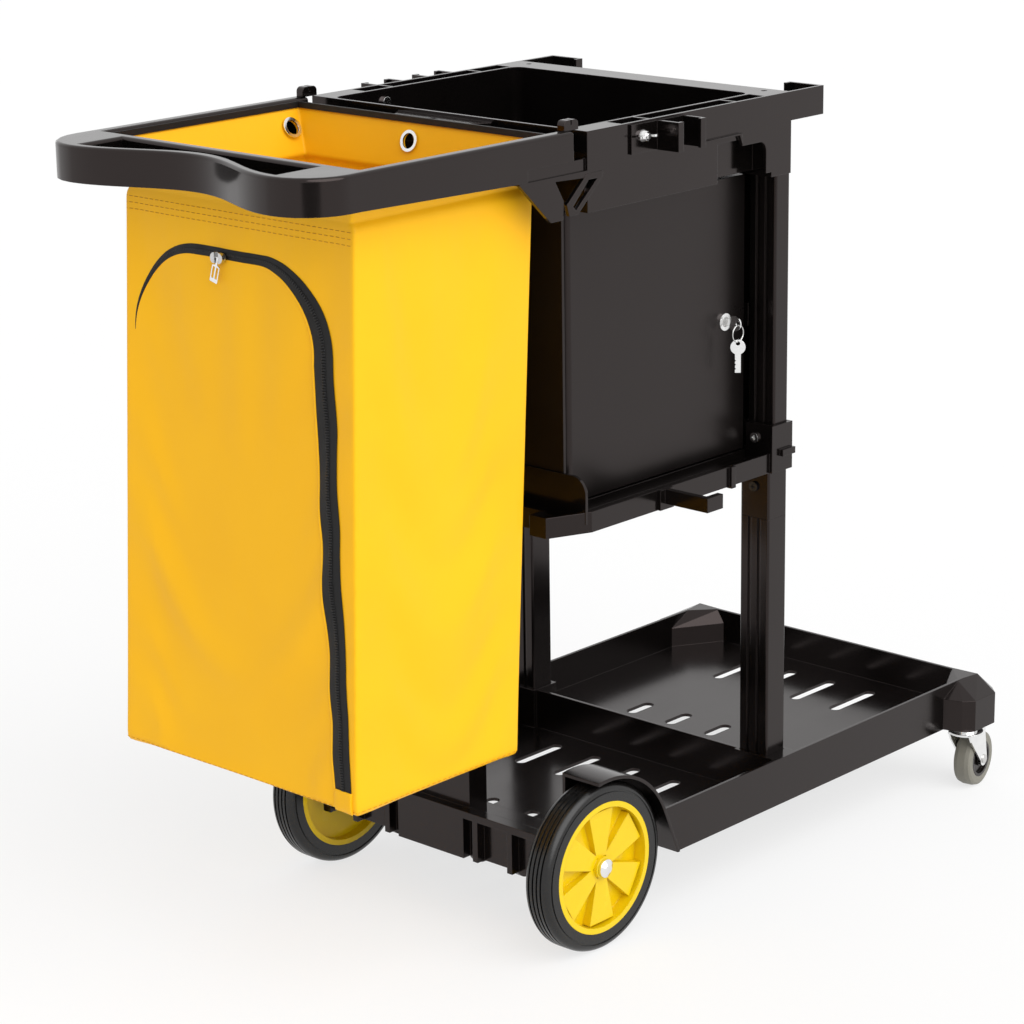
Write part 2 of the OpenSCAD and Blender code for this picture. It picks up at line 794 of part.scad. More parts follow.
module shelf_hook(side) {
    hook_t = 8;
    hook_low = 7;
    color(black) at_origin() on_side(side) {
        z0 = shelf_z + hook_low;
        box([hook_x, hu, z0], [hook_x + hook_t, hu + hook_out, rim_top]);
        box([hook_x, hu + hook_out - hook_t, z0], [hook_x + hook_l, hu + hook_out, rim_top]);
        box([hook_x - hook_t, hu, z0 - hook_low], [hook_x + 2 * hook_t, hu + wall, rim_top]);
    }
}

// Cabinet panels

panel_front_x = post_x + post_l - panel_t - 9;

module cabinet_rear_panel() {
    color(black) at_origin() box([panel_x, -door_face, deck_z], [panel_x + panel_t, door_face, tray_bottom]);
}

module cabinet_front_panel() {
    y = hu - upper_d - slip_fit - sleeve_t - slip_fit;
    color(black) at_origin() box([panel_front_x, -y, deck_z], [panel_front_x + panel_t, y, tray_bottom]);
}

module cabinet_far_panel() {
    color(black) at_origin() {
        box([panel_x + panel_t, door_face - panel_t, rim_top], [post_x, door_face, tray_bottom]);
        box([post_x - over, door_face - panel_t, socket_top + slip_fit],
            [upper_x - slip_fit, door_face, leg_bottom]);
    }
}

// Door and lock

door_x1 = post_x - door_gap;
door_z0 = rim_top + door_gap;
door_z1 = tray_bottom - door_gap - wall;
door_shell = 3;
lock_x = door_x1 - lock_edge;
lock_z = rim_top + lock_up;
flange_t = 3;
flange_d = barrel_d + 5;
barrel_l = door_t + 11;
nut_t = 4;
cam_t = 2.6;
key_t = 2;
key_head_y = 17;                         // middle of the key's head, out from the door's face
key_hole_y = 22;
key_hole_d = 5;
blade_h = 7;
blade_in = 18;
wire_d = 1.6;
ring_top = lock_z - key_hole_d / 2 + wire_d / 2 + run_gap / 2;
spare_hole_z = ring_top - ring_d - key_hole_d / 2 + wire_d / 2 + run_gap / 2;
spare_head_z = spare_hole_z - key_head_d / 4;
blade_l = 24;

// Origin on the door's face at the lock, +Z out of the cabinet.
module at_lock() {
    at_origin() translate([lock_x, -door_face, lock_z]) rotate([90, 0, 0]) children();
}

// Plan of the door, with its hinge edge round about the pins.
module door_plan() {
    translate([hinge_x, -door_face]) square([door_x1 - hinge_x, door_t]);
    translate([hinge_x, -hinge_y]) circle(d = door_t);
}

// The door is a shell with a deep back: a frame round its edge and a rib across.
module door() {
    frame_t = 18;
    color(black) at_origin() difference() {
        union() {
            translate([0, 0, door_z0]) linear_extrude(door_z1 - door_z0) door_plan();
            translate([hinge_x, -hinge_y, rim_top - hinge_up + run_gap])
                cylinder(d = hinge_d, h = hinge_up + door_gap);
            translate([hinge_x, -hinge_y, door_z1])
                cylinder(d = hinge_d, h = tray_bottom + wall - door_z1 - run_gap);
        }
        pocket_z = [door_z0 + frame_t, lock_z - 2 * frame_t, lock_z + 2 * frame_t, door_z1 - frame_t];
        for (i = [0, 2]) box([door_x0 + frame_t, door_shell - door_face, pocket_z[i]],
            [door_x1 - frame_t, over - door_back, pocket_z[i + 1]]);
        translate([lock_x, -door_face - over, lock_z]) rotate([-90, 0, 0])
            cylinder(d = barrel_d + 2 * slip_fit, h = door_t + 2 * over);
    }
}

module lock_barrel() {
    color(zinc) at_lock() difference() {
        union() {
            cylinder(d = flange_d, h = flange_t);
            translate([0, 0, -barrel_l]) cylinder(d = barrel_d, h = barrel_l);
        }
        translate([0, 0, -barrel_l - over])
            cylinder(d = plug_d + 2 * turn_fit, h = barrel_l + flange_t + 2 * over);
    }
}

module lock_nut() {
    color(zinc) at_lock() translate([0, 0, -door_t - nut_t]) difference() {
        cylinder(d = barrel_d + 9, h = nut_t, $fn = 6);
        translate([0, 0, -over]) cylinder(d = barrel_d + 2 * turn_fit, h = nut_t + 2 * over);
    }
}

module lock_plug() {
    color(steel) at_lock() difference() {
        translate([0, 0, -barrel_l - run_gap]) cylinder(d = plug_d, h = barrel_l + run_gap + flange_t);
        translate([-key_t / 2 - slip_fit, -blade_h / 2 - slip_fit, flange_t - blade_in - slip_fit])
            cube([key_t + 2 * slip_fit, blade_h + 2 * slip_fit, blade_in + slip_fit + over]);
    }
}

// The cam points up when the lock is open, and turns behind the strike to lock the door.
module lock_cam() {
    color(zinc) at_lock() translate([0, 0, -barrel_l - run_gap - cam_t]) linear_extrude(cam_t) {
        circle(d = barrel_d);
        translate([-barrel_d / 3, 0]) square([barrel_d / 1.5, cam_l - barrel_d / 3]);
        translate([0, cam_l - barrel_d / 3]) circle(d = barrel_d / 1.5);
    }
}

// Outline of a key: a round head with its hole, and a blade with three cuts.
module key_outline(head_to_tip) {
    difference() {
        union() {
            circle(d = key_head_d);
            translate([-blade_h / 2, -head_to_tip]) square([blade_h, head_to_tip]);
        }
        translate([0, key_head_d / 4]) circle(d = key_hole_d);
        for (i = [1:3]) translate([blade_h / 2, -head_to_tip + i * blade_h * 0.7]) rotate(45)
            square(blade_h / 4, center = true);
    }
}

module cabinet_key() {
    color(zinc) at_lock() translate([-key_t / 2, 0, key_head_y]) rotate([90, 0, 90])
        linear_extrude(key_t) difference() {
            key_outline(key_head_y + blade_in - flange_t);
            translate([0, key_head_d / 4]) circle(d = key_hole_d);
        }
}

ring_y = -door_face - key_head_y - key_head_d / 4;

module key_ring() {
    color(steel) at_origin() translate([lock_x, ring_y, ring_top - ring_d / 2]) rotate([90, 0, 0])
        rotate_extrude() translate([ring_d / 2, 0]) circle(d = wire_d, $fn = 24);
}

module spare_key() {
    color(zinc) at_origin() translate([lock_x - key_t / 2, ring_y, spare_head_z]) rotate([90, 0, 90])
        linear_extrude(key_t) key_outline(key_head_d / 2 + blade_l - key_t);
}

// Top tray

bin_x0 = tray_rear + wall;
bin_x1 = post_x - 3;
bin_y = hu - rim_w;
tray_front = post_x + post_l + 1;
spigot_l = 40;
channel_deep = 40;
tab_l = 36;
tab_w = 147;
tab_tip_w = 96;
tab_hole_d = 8;
corner_hole_d = 7;
bin_r = 14;                              // radius of the bin's corners
bracket_l = 96;
bracket_lap = 14;                        // how far the bracket's floor runs on under the rail
bracket_in = 3;                          // how far the bracket's side stands in from the rail's
bracket_h = 13;
rail_low = frame_z - rail_h - rail_drop;
step_x = tray_rear - bracket_l;          // where the rail's lower edge steps up over the bracket
notch_in = 10;                           // distance of the notch from the post
notch_l = 90;
notch_h = 38;
notch_step = 8;
notch_r = 12;
rib_xs = [108, 263, 318];                // ribs across the rim, from the tray's rear wall
bolt_x = tray_rear + jaw_x - 24;
bolt_z = tray_top - 16;

module rim_channels() {
    gap = rim_w - 2 * wall;
    ends = [60, rib_xs[0], rib_xs[1], rib_xs[2]];
    for (i = [0:2]) {
        x0 = tray_rear + ends[i] + wall / 2;
        x1 = tray_rear + ends[i + 1] - wall / 2;
        box([x0, bin_y + wall, tray_top - channel_deep], [x1, bin_y + wall + gap, tray_top + over]);
    }
}

module hang_arm() {
    x1 = tray_front + arm_l;
    z0 = tray_top - arm_h;
    box([tray_front - wall, hu - wall, z0], [x1, hu, tray_top]);
    box([x1 - wall, hu - arm_return, z0], [x1, hu, tray_top]);
    box([x1 - 3 * wall, hu - arm_return, z0], [x1, hu - arm_return + wall, tray_top]);
}

// The rails of the bag frame sit on these brackets, with a gusset under each.
module rail_bracket() {
    z0 = rail_low;
    x0 = step_x - bracket_lap;
    x1 = tray_rear + wall;
    xz_plate(hu - rim_w, hu) polygon([[x0, z0], [x1, z0], [x1, z0 - 2 * wall], [x0, z0 - wall / 2]]);
    box([step_x + slip_fit, hu - bracket_in - wall, z0 - over], [x1, hu - bracket_in, z0 + bracket_h]);
    xz_plate(hu - rail_t, hu) polygon([[x0, z0 - over], [x0 + 50, tray_bottom - 2],
        [x0 + 70, tray_bottom - 2], [x0 + 71, tray_bottom + 19], [x0 + 55, z0 - over]]);
}

// A slanted double rib stiffens the tray's corner beside the gusset.
module corner_rib_outline() {
    translate([tray_rear, tray_bottom])
        polygon([[-35, 14], [-31, 1], [-17, 1], [25, 38], [25, 44], [-1, 44]]);
}

module corner_rib_slot() {
    translate([tray_rear, tray_bottom]) polygon([[-25, 11], [-20, 6], [16, 37], [1, 37]]);
}

// The notch beside the leg has a round corner at the leg and a step up under the hood.
module notch_outline() {
    x1 = post_x - notch_in;
    x0 = x1 - notch_l;
    z0 = tray_bottom - over;
    translate([x0, z0]) square([notch_l, notch_h + over - notch_r]);
    translate([x0, z0]) square([notch_l - notch_r, notch_h + over]);
    translate([x0, z0]) square([notch_l / 2, notch_h + notch_step + over]);
    translate([x1 - notch_r, tray_bottom + notch_h - notch_r]) circle(notch_r);
}

// The bin with its double side walls: a block that is hollowed from above and from below.
module bin_shell() {
    difference() {
        box([tray_rear, -hu, tray_bottom], [post_x + wall, hu, tray_top]);
        translate([0, 0, tray_bottom + wall]) linear_extrude(tray_h)
            round_rect([bin_x0, -bin_y], [bin_x1, bin_y], bin_r);
        for (side = [near, far]) on_side(side) {
            rim_channels();
            box([bin_x0, bin_y + wall, tray_bottom - over],
                [bin_x1, hu - wall, tray_top - channel_deep - wall]);
            xz_plate(hu - wall - over, hu + over) notch_outline();
        }
    }
}

module tray_side() {
    // corner leg on the post, and the spigot inside the post
    box([post_x, hu - post_d, leg_bottom], [tray_front, hu, tray_top]);
    grip = post_skin + slip_fit;
    box([upper_x + grip, hu - upper_d + grip, leg_bottom - spigot_l],
        [upper_x + upper_l - grip, hu - grip, leg_bottom + over]);
    hang_arm();
    rail_bracket();
    xz_plate(hu - wall, hu + over) corner_rib_outline();
    // sloped hood over the notch, below the tool holder's plate
    xz_plate(hu - over, hu + 4) translate([post_x, tray_top - plate_h - 3])
        polygon([[-124, -1], [-59, 0], [-59, -14], [-64, -2]]);
}

module rear_tab_outline() {
    polygon([[over, -tab_w / 2], [-tab_l, -tab_tip_w / 2], [-tab_l, tab_tip_w / 2], [over, tab_w / 2]]);
}

module top_tray() {
    color(black) at_origin() difference() {
        union() {
            bin_shell();
            for (side = [near, far]) on_side(side) tray_side();
            box([post_x, -hu, tray_top - wall], [tray_front, hu, tray_top]);
            translate([tray_rear, 0, tray_top - 2 * wall]) linear_extrude(wall) rear_tab_outline();
        }
        for (side = [near, far]) on_side(side) {
            xz_plate(hu - wall - over, hu + 2 * over) corner_rib_slot();
            translate([post_x + post_l / 2 + wall, hu - post_d + 14, tray_top - channel_deep])
                cylinder(d = corner_hole_d, h = channel_deep + over);
            across(bolt_x, bin_y - over, bolt_z) cylinder(d = bolt_d + 2 * turn_fit, h = rim_w + 2 * over);
        }
        translate([tray_rear - tab_l / 2, 0, tray_top - 3 * wall]) cylinder(d = tab_hole_d, h = 3 * wall);
        translate([hinge_x, -hinge_y, tray_bottom - over])
            cylinder(d = hinge_d + 2 * turn_fit, h = wall + 2 * over);
    }
}

// Tool holders on the tray's sides

plate_t = 3;
plate_h = 33;
jaw_t = 4;
jaw_lip = 5;

module holder(side, jaws) {
    x0 = tray_rear + jaw_x;
    pitch = jaw_gap + jaw_t;
    z0 = tray_top - 2 - plate_h;
    y0 = hu + plate_t;
    color(black) at_origin() on_side(side) difference() {
        union() {
            box([x0 - 44, hu, z0], [x0 + (jaws - 1) * pitch + jaw_t, y0, z0 + plate_h]);
            for (i = [0:jaws - 1]) {
                x = x0 + i * pitch;
                lip = i % 2 == 0 ? 0 : -jaw_lip;
                box([x, hu, z0], [x + jaw_t, y0 + jaw_out, z0 + plate_h]);
                box([x + lip, y0 + jaw_out - jaw_t, z0],
                    [x + lip + jaw_t + jaw_lip, y0 + jaw_out, z0 + plate_h]);
            }
        }
        across(bolt_x, hu - over, bolt_z) cylinder(d = bolt_d + 2 * turn_fit, h = plate_t + 2 * over);
    }
}

wing_t = 7;
bolt_head_h = 4;

module holder_bolts() {
    color(zinc) at_origin() for (side = [near, far]) on_side(side)
        across(bolt_x, bin_y - bolt_head_h, bolt_z) {
            cylinder(d = 2.2 * bolt_d, h = bolt_head_h);
            cylinder(d = bolt_d, h = bolt_head_h + rim_w + plate_t + wing_t + 2);
        }
}

// A wing nut: a tapered boss and two rounded wings.
module wing_nuts() {
    wing_l = 10;
    color(zinc) at_origin() for (side = [near, far]) on_side(side)
        across(bolt_x, hu + plate_t, bolt_z) difference() {
            union() {
                cylinder(d1 = 2.4 * bolt_d, d2 = 1.7 * bolt_d, h = wing_t);
                for (s = [-1, 1]) translate([s * wing_l, 0, wing_t]) rotate([90, 0, 0])
                    cylinder(d = wing_l, h = 2.4, center = true);
            }
            translate([0, 0, -over]) cylinder(d = bolt_d + 2 * turn_fit, h = wing_t + 2 * over);
        }
}

// Bag frame and handle

rail_end = tray_rear - frame_gap;        // end of the rails at the tray
slot_back = inner_bar_x + inner_bar_w;   // the hand slot's edge on the inner bar
bow_y = hu - handle_r;                   // where the handle's bow meets its corners
bow_steps = 24;
corner_steps = 6;
cross_bar_l = 16;
cross_bar_h = 20;
lip_h = 20;

// The outer bar bows towards the cart in the middle, on a cosine.
function bow_x(y) = -handle_mid - handle_bow * (1 - cos(180 * y / bow_y)) / 2;
function bow_line(inset, half) = [for (i = [-bow_steps:bow_steps])
    [bow_x(i / bow_steps * bow_y) + inset, i / bow_steps * half]];
function corner_line(s) = [for (i = [1:corner_steps])
    [handle_x + handle_r * (1 - cos(i * 90 / corner_steps)),
        s * (bow_y + handle_r * sin(i * 90 / corner_steps))]];
function reversed(list) = [for (i = [len(list) - 1:-1:0]) list[i]];

module handle_outline() {
    slot_half = bow_y - handle_t / 3;
    difference() {
        polygon(concat([[-inner_bar_x, -hu]], reversed(corner_line(-1)), bow_line(0, bow_y), corner_line(1),
            [[-inner_bar_x, hu]]));
        polygon(concat([[-slot_back, -slot_half]], bow_line(handle_t, slot_half),
            [[-slot_back, slot_half]]));
    }
}

module rail() {
    x0 = -slot_back;
    low = frame_z - rail_h;
    xz_plate(hu - rail_t, hu) polygon([[x0, low], [step_x - bracket_lap, rail_low], [step_x, rail_low],
        [step_x, rail_low + bracket_h], [rail_end, rail_low + bracket_h],
        [rail_end, frame_z], [x0, frame_z]]);
    box([x0, hu - rail_w, frame_z - rail_t], [rail_end, hu, frame_z]);
    box([x0, hu - rail_w, frame_z - lip_h], [rail_end, hu - rail_w + rail_t, frame_z]);
}

module bag_frame() {
    color(black) at_origin() {
        translate([0, 0, frame_z - rail_h]) linear_extrude(rail_h) handle_outline();
        for (side = [near, far]) on_side(side) rail();
        box([rail_end - cross_bar_l, rail_w - hu, frame_z - 12 - cross_bar_h],
            [rail_end, hu - rail_w, frame_z - 12]);
    }
}

// A round-topped latch with a slit on each rail, over the gap to the tray.
module frame_latches() {
    knob_r = 5.75;
    slit_w = 1.6;
    latch_w = 10;
    color(black) at_origin() for (side = [near, far]) on_side(side)
        xz_plate(hu - rail_w, hu - rail_w + latch_w)
            translate([rail_end + knob_r / 2, frame_z]) difference() {
                union() {
                    for (s = [-1, 1]) translate([s * knob_r, knob_r]) circle(knob_r);
                    translate([-2 * knob_r, 0]) square([4 * knob_r, knob_r]);
                    translate([-knob_r, 0]) square([2 * knob_r, 2 * knob_r]);
                }
                translate([-slit_w / 2, knob_r]) square([slit_w, 2 * knob_r]);
            }
}

// Bag: a lofted vinyl sack that leans back a little and flares to the frame at its mouth

mouth_z = frame_z - 3 - hem_h;
mouth_x0 = run_gap - inner_bar_x;
mouth_x1 = rail_end - cross_bar_l - run_gap;
mouth_y = hu - rail_w - run_gap;
neck_x0 = -inner_bar_x + neck_in;
neck_x1 = mouth_x1 - 14;
foot_x0 = neck_x0 - bag_lean;
loft = 0.1;

// One level of the loft, drawn in by the given amount.
module bag_level(x0, x1, half, z, inset) {
    box([x0 + inset, inset - half, z], [x1 - inset, half - inset, z + loft]);
}

module bag_body(inset, floor_up, rise) {
    hull() {
        bag_level(foot_x0, foot_x0 + bag_l, bag_w / 2, bag_bottom + floor_up, inset);
        bag_level(neck_x0, neck_x1, neck_w / 2, neck_z, inset);
    }
    hull() {
        bag_level(neck_x0, neck_x1, neck_w / 2, neck_z, inset);
        bag_level(mouth_x0, mouth_x1, mouth_y, mouth_z - loft + rise, inset);
    }
}

side_tilt = atan2(mouth_y - neck_w / 2, mouth_z - neck_z);
back_tilt = atan2(mouth_x1 - neck_x1, mouth_z - neck_z);
eyelet_down = 20;
eyelet_z = mouth_z - eyelet_down;
eyelet_in = 25;                          // side eyelets' distance from the mouth's ends
eyelet_t = 1.6;
eyelet_off = 10;                         // rear eyelet's distance from the mid-plane
eyelet_hole = 0.7 * eyelet_d;

// Origin of each eyelet on the inner face of the bag's wall, +Z into the bag.
module at_eyelets() {
    at_side = mouth_y - eyelet_down * tan(side_tilt) - bag_t / cos(side_tilt);
    at_back = mouth_x1 - eyelet_down * tan(back_tilt) - bag_t / cos(back_tilt);
    for (x = [mouth_x0 + eyelet_in, mouth_x1 - eyelet_in]) for (side = [near, far]) on_side(side)
        translate([x, at_side, eyelet_z]) rotate([90 - side_tilt, 0, 0]) children();
    translate([at_back, eyelet_off, eyelet_z]) rotate([0, -90 + back_tilt, 0]) children();
}

module bag() {
    color(yellow) at_origin() difference() {
        bag_body(0, 0, 0);
        bag_body(bag_t, bag_t, over);
        at_eyelets() translate([0, 0, -3 * bag_t]) cylinder(d = eyelet_hole - 1, h = 6 * bag_t);
    }
}

module bag_hem() {
    hem_t = 4;
    color(black) at_origin() difference() {
        box([mouth_x0, -mouth_y, mouth_z], [mouth_x1, mouth_y, mouth_z + hem_h]);
        box([mouth_x0 + hem_t, hem_t - mouth_y, mouth_z - over],
            [mouth_x1 - hem_t, mouth_y - hem_t, mouth_z + hem_h + over]);
    }
}

module bag_eyelets() {
    color(zinc) at_origin() at_eyelets() translate([0, 0, run_gap]) difference() {
        cylinder(d = eyelet_d, h = eyelet_t);
        translate([0, 0, -over]) cylinder(d = eyelet_hole, h = eyelet_t + 2 * over);
    }
}

// Zip on the bag's rear panel: an arch with one long leg, on the panel's slope

zip_t = 2;
zip_lean = atan2(bag_lean, neck_z - bag_bottom);
zip_high = norm([bag_lean, neck_z - bag_bottom]) - zip_top;   // the zip's top, up the panel
zip_left = 62;                           // middles of the arch's two turns, from the mid-plane
zip_right = 38;
zip_slope = 2.7;                         // the long leg's slant, in degrees
slider_w = 12;
slider_t = 6;
slider_l = 14;
pull_l = 22;

// Origin at the foot of the bag's rear panel, +X to the near side, +Y up the panel, +Z out.
module on_rear_panel() {
    at_origin() translate([foot_x0, 0, bag_bottom]) rotate([0, zip_lean, 0]) rotate([90, 0, -90])
        translate([0, 0, run_gap]) children();
}

module zip_turn(x, keep) {
    intersection() {
        translate([x, zip_high - zip_r]) difference() {
            circle(zip_r);
            circle(zip_r - zip_w);
        }
        translate([x + (keep < 0 ? -zip_r : 0), zip_high - zip_r]) square(zip_r);
    }
}

module zip_outline() {
    zip_turn(-zip_left, -1);
    zip_turn(zip_right, 1);
    translate([-zip_left - over, zip_high - zip_w]) square([zip_left + zip_right + 2 * over, zip_w]);
    leg = zip_high - zip_r - zip_w;
    x1 = zip_right + zip_r;
    foot = leg * tan(zip_slope);
    head = zip_high - zip_r + over;
    polygon([[x1 - zip_w, head], [x1, head], [x1 + foot, zip_w], [x1 + foot - zip_w, zip_w]]);
}

module zipper_tape() {
    color(black) on_rear_panel() linear_extrude(zip_t) zip_outline();
}

slider_x = -22;

module zipper_slider() {
    color(zinc) on_rear_panel() translate([slider_x, zip_high - zip_w / 2, zip_t]) difference() {
        linear_extrude(slider_t) {
            square([slider_l, slider_w * 0.7], center = true);
            for (s = [-1, 1]) translate([s * slider_l / 4, 0]) circle(d = slider_w);
        }
        translate([0, 0, slider_t - 2.6]) rotate([0, 90, 0])
            cylinder(d = pin_d + 2 * turn_fit, h = 2 * slider_l, center = true);
        translate([-pull_w / 2 - run_gap, -slider_w, slider_t - 2.6 - pin_d / 2 - run_gap])
            cube([pull_w + 2 * run_gap, 2 * slider_w, slider_t]);
    }
}

pull_w = 6;
pull_steps = 3;                          // windows in the ladder-like pull
pin_d = 2;

// The pull hangs from a cross pin in the slider.
module zipper_pull() {
    color(zinc) on_rear_panel() translate([slider_x, zip_high - zip_w / 2, zip_t + slider_t - 2.6]) {
        rotate([0, 90, 0]) cylinder(d = pin_d, h = slider_l - 2, center = true);
        translate([-pull_w / 2, -pull_l, -pin_d / 2]) difference() {
            cube([pull_w, pull_l, pin_d]);
            for (i = [0:pull_steps - 1]) translate([pull_w / 4, pull_w / 4 + i * pull_w, -over])
                cube([pull_w / 2, pull_w * 0.7, pin_d + 2 * over]);
        }
    }
}

base();
rear_axle();
axle_spacers();
axle_caps();
tyre(near);  // tyre_near
hub(near);  // hub_near
tyre(far);  // tyre_far
hub(far);  // hub_far
caster_stem(near);  // caster_stem_near
caster_fork(near);  // caster_fork_near
caster_axle(near);  // caster_axle_near
caster_tread(near);  // caster_tread_near
caster_core(near);  // caster_core_near
caster_stem(far);  // caster_stem_far
caster_fork(far);  // caster_fork_far
caster_axle(far);  // caster_axle_far
caster_tread(far);  // caster_tread_far
caster_core(far);  // caster_core_far
lower_post(near);  // lower_post_near
lower_post(far);  // lower_post_far
upper_post(near);  // upper_post_near
upper_post(far);  // upper_post_far
strike();  // lock_strike
mid_shelf();
post_screws();
shelf_hook(near);  // shelf_hook_near
shelf_hook(far);  // shelf_hook_far
cabinet_rear_panel();
cabinet_front_panel();
cabinet_far_panel();
door();
lock_barrel();
lock_nut();
lock_plug();
lock_cam();
cabinet_key();
key_ring();
spare_key();
top_tray();
holder(near, 2);  // tool_holder_near
holder(far, 4);  // tool_holder_far
holder_bolts();
wing_nuts();
bag_frame();
frame_latches();
bag();
bag_hem();
bag_eyelets();
zipper_tape();
zipper_slider();
zipper_pull();
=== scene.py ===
# %% [markdown]
# # A janitor cart
# The frame that is loaded here holds every rigid piece of the cart at its real size: the mouldings, the
# posts, the wheels, the lock and the zip. This lesson rounds the edges that a mould would round, gives each
# surface its finish, sews the one soft piece, the yellow bag, and sets the cart in a white studio.
# All lengths are metres, Z is up, and the bag hangs at the rear, towards -X.

# %% Load the frame
import json
from math import cos, pi, radians, sin, tan

import bmesh
import bpy
from mathutils import Matrix, Vector
from mathutils.bvhtree import BVHTree

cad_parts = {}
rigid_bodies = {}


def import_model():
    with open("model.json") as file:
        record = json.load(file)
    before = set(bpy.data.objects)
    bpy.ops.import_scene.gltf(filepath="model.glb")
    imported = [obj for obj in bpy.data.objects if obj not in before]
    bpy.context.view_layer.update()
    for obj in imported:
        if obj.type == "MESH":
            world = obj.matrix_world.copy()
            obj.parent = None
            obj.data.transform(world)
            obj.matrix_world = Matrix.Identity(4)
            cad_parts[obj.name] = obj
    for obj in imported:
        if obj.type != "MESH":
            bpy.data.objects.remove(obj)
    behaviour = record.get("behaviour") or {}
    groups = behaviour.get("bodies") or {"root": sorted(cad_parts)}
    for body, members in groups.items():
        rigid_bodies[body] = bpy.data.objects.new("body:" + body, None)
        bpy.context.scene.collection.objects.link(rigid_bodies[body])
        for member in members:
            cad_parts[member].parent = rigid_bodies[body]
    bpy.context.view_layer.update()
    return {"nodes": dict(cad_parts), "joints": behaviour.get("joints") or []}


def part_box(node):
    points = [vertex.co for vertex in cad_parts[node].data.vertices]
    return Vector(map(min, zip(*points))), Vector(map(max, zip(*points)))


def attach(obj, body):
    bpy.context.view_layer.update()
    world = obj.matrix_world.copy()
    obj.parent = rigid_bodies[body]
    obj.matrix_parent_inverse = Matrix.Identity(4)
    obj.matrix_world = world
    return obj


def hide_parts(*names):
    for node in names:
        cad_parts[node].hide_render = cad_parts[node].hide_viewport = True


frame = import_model()
nodes = frame["nodes"]

# %% [markdown]
# ## Helpers for working by hand
# Blender's operators act on whatever is selected and active. A person clicks a piece, presses Tab and picks
# faces; these helpers do the same, so that every later step reads like the steps of a modelling session.
# A test on a face, an edge or a point stands for the click that would select it. A face counts as facing one
# way when that share of its normal points there.

# %% Selecting and editing
facing = 0.9


def only(piece):
    """Makes one piece the only selected one, and the active one."""
    bpy.ops.object.select_all(action="DESELECT")
    piece.select_set(True)
    bpy.context.view_layer.objects.active = piece
    return piece


def edit(piece, mode="FACE"):
    """Enters edit mode on one piece with nothing selected."""
    only(piece)
    bpy.ops.object.mode_set(mode="EDIT")
    bpy.ops.mesh.select_mode(type=mode)
    bpy.ops.mesh.select_all(action="DESELECT")


def leave():
    """Goes back to object mode."""
    bpy.ops.object.mode_set(mode="OBJECT")


def pick(piece, test, kind="faces"):
    """Selects, in edit mode, the faces, edges or points that pass a test, and no others."""
    bpy.ops.mesh.select_all(action="DESELECT")
    cage = bmesh.from_edit_mesh(piece.data)
    for part in getattr(cage, kind):
        if test(part):
            part.select_set(True)
    cage.select_flush_mode()
    bmesh.update_edit_mesh(piece.data)


def add(name, data):
    """Puts a mesh, a curve, a lamp or a camera into the scene as an object."""
    made = bpy.data.objects.new(name, data)
    bpy.context.scene.collection.objects.link(made)
    return made


def settle(piece):
    """Puts a piece's place, turn and scale into its mesh."""
    only(piece)
    bpy.ops.object.transform_apply(location=True, rotation=True, scale=True)
    return piece


def apply(piece, kind, **settings):
    """Adds a modifier, sets it and applies it."""
    only(piece)
    modifier = piece.modifiers.new(kind.title(), kind)
    for name, value in settings.items():
        setattr(modifier, name, value)
    bpy.ops.object.modifier_apply(modifier=modifier.name)
    return piece


def smooth(piece, degrees=40):
    """Shades a piece smooth, apart from its sharper edges."""
    only(piece)
    bpy.ops.object.shade_smooth_by_angle(angle=radians(degrees))
    return piece


def fit(piece, body, finish):
    """Lets a piece ride on a body, and gives it its material."""
    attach(piece, body)
    piece.data.materials.clear()
    piece.data.materials.append(finish)
    return piece


print("Helpers are ready")

# %% [markdown]
# ## Materials written as sums
# A material is a tree of nodes. Wiring them one by one is slow to read, so a small class wraps a socket:
# adding or multiplying two wires adds the Math node that does it. Every other node comes from one method,
# which takes the node's type, its settings and what feeds its sockets. Patterns read Object coordinates,
# which are metres on the cart itself, so a grain of one millimetre is one millimetre on every piece.

# %% Wires and finishes


class Wire:
    """One output socket. Sums on wires add Math nodes."""

    def __init__(self, shading, socket):
        self.shading = shading
        self.socket = socket

    def math(self, operation, left, right):
        return self.shading.node("ShaderNodeMath", {"operation": operation}, {0: left, 1: right})

    def __add__(self, other):
        return self.math("ADD", self, other)

    def __radd__(self, other):
        return self.math("ADD", other, self)

    def __sub__(self, other):
        return self.math("SUBTRACT", self, other)

    def __rsub__(self, other):
        return self.math("SUBTRACT", other, self)

    def __mul__(self, other):
        return self.math("MULTIPLY", self, other)

    def swing(self, amount):
        """The wire's swing about its middle, as a share of an amount."""
        return (self - 0.5) * amount

    def wave(self, length):
        """A sine of the wire, from 0 to 1, that repeats at each length."""
        turn = self * (2 * pi / length)
        return self.math("SINE", turn, 0) * 0.5 + 0.5

    def above(self, edge, width):
        """A soft step from 0 to 1 as the wire passes an edge."""
        names = {"interpolation_type": "SMOOTHSTEP"}
        span = {0: self, 1: edge - width, 2: edge + width}
        return self.shading.node("ShaderNodeMapRange", names, span)

    def other(self, name):
        """Another output of the same node."""
        return Wire(self.shading, self.socket.node.outputs[name])


class Shading:
    """The nodes of one material, or of the world."""

    def __init__(self, owner):
        owner.use_nodes = True
        self.tree = owner.node_tree

    def node(self, kind, settings=None, sockets=None, output=0):
        made = self.tree.nodes.new(kind)
        for name, value in (settings or {}).items():
            setattr(made, name, value)
        for name, value in (sockets or {}).items():
            self.feed(made.inputs[name], value)
        return Wire(self, made.outputs[output])

    def feed(self, socket, value):
        if isinstance(value, Wire):
            self.tree.links.new(value.socket, socket)
        else:
            socket.default_value = value


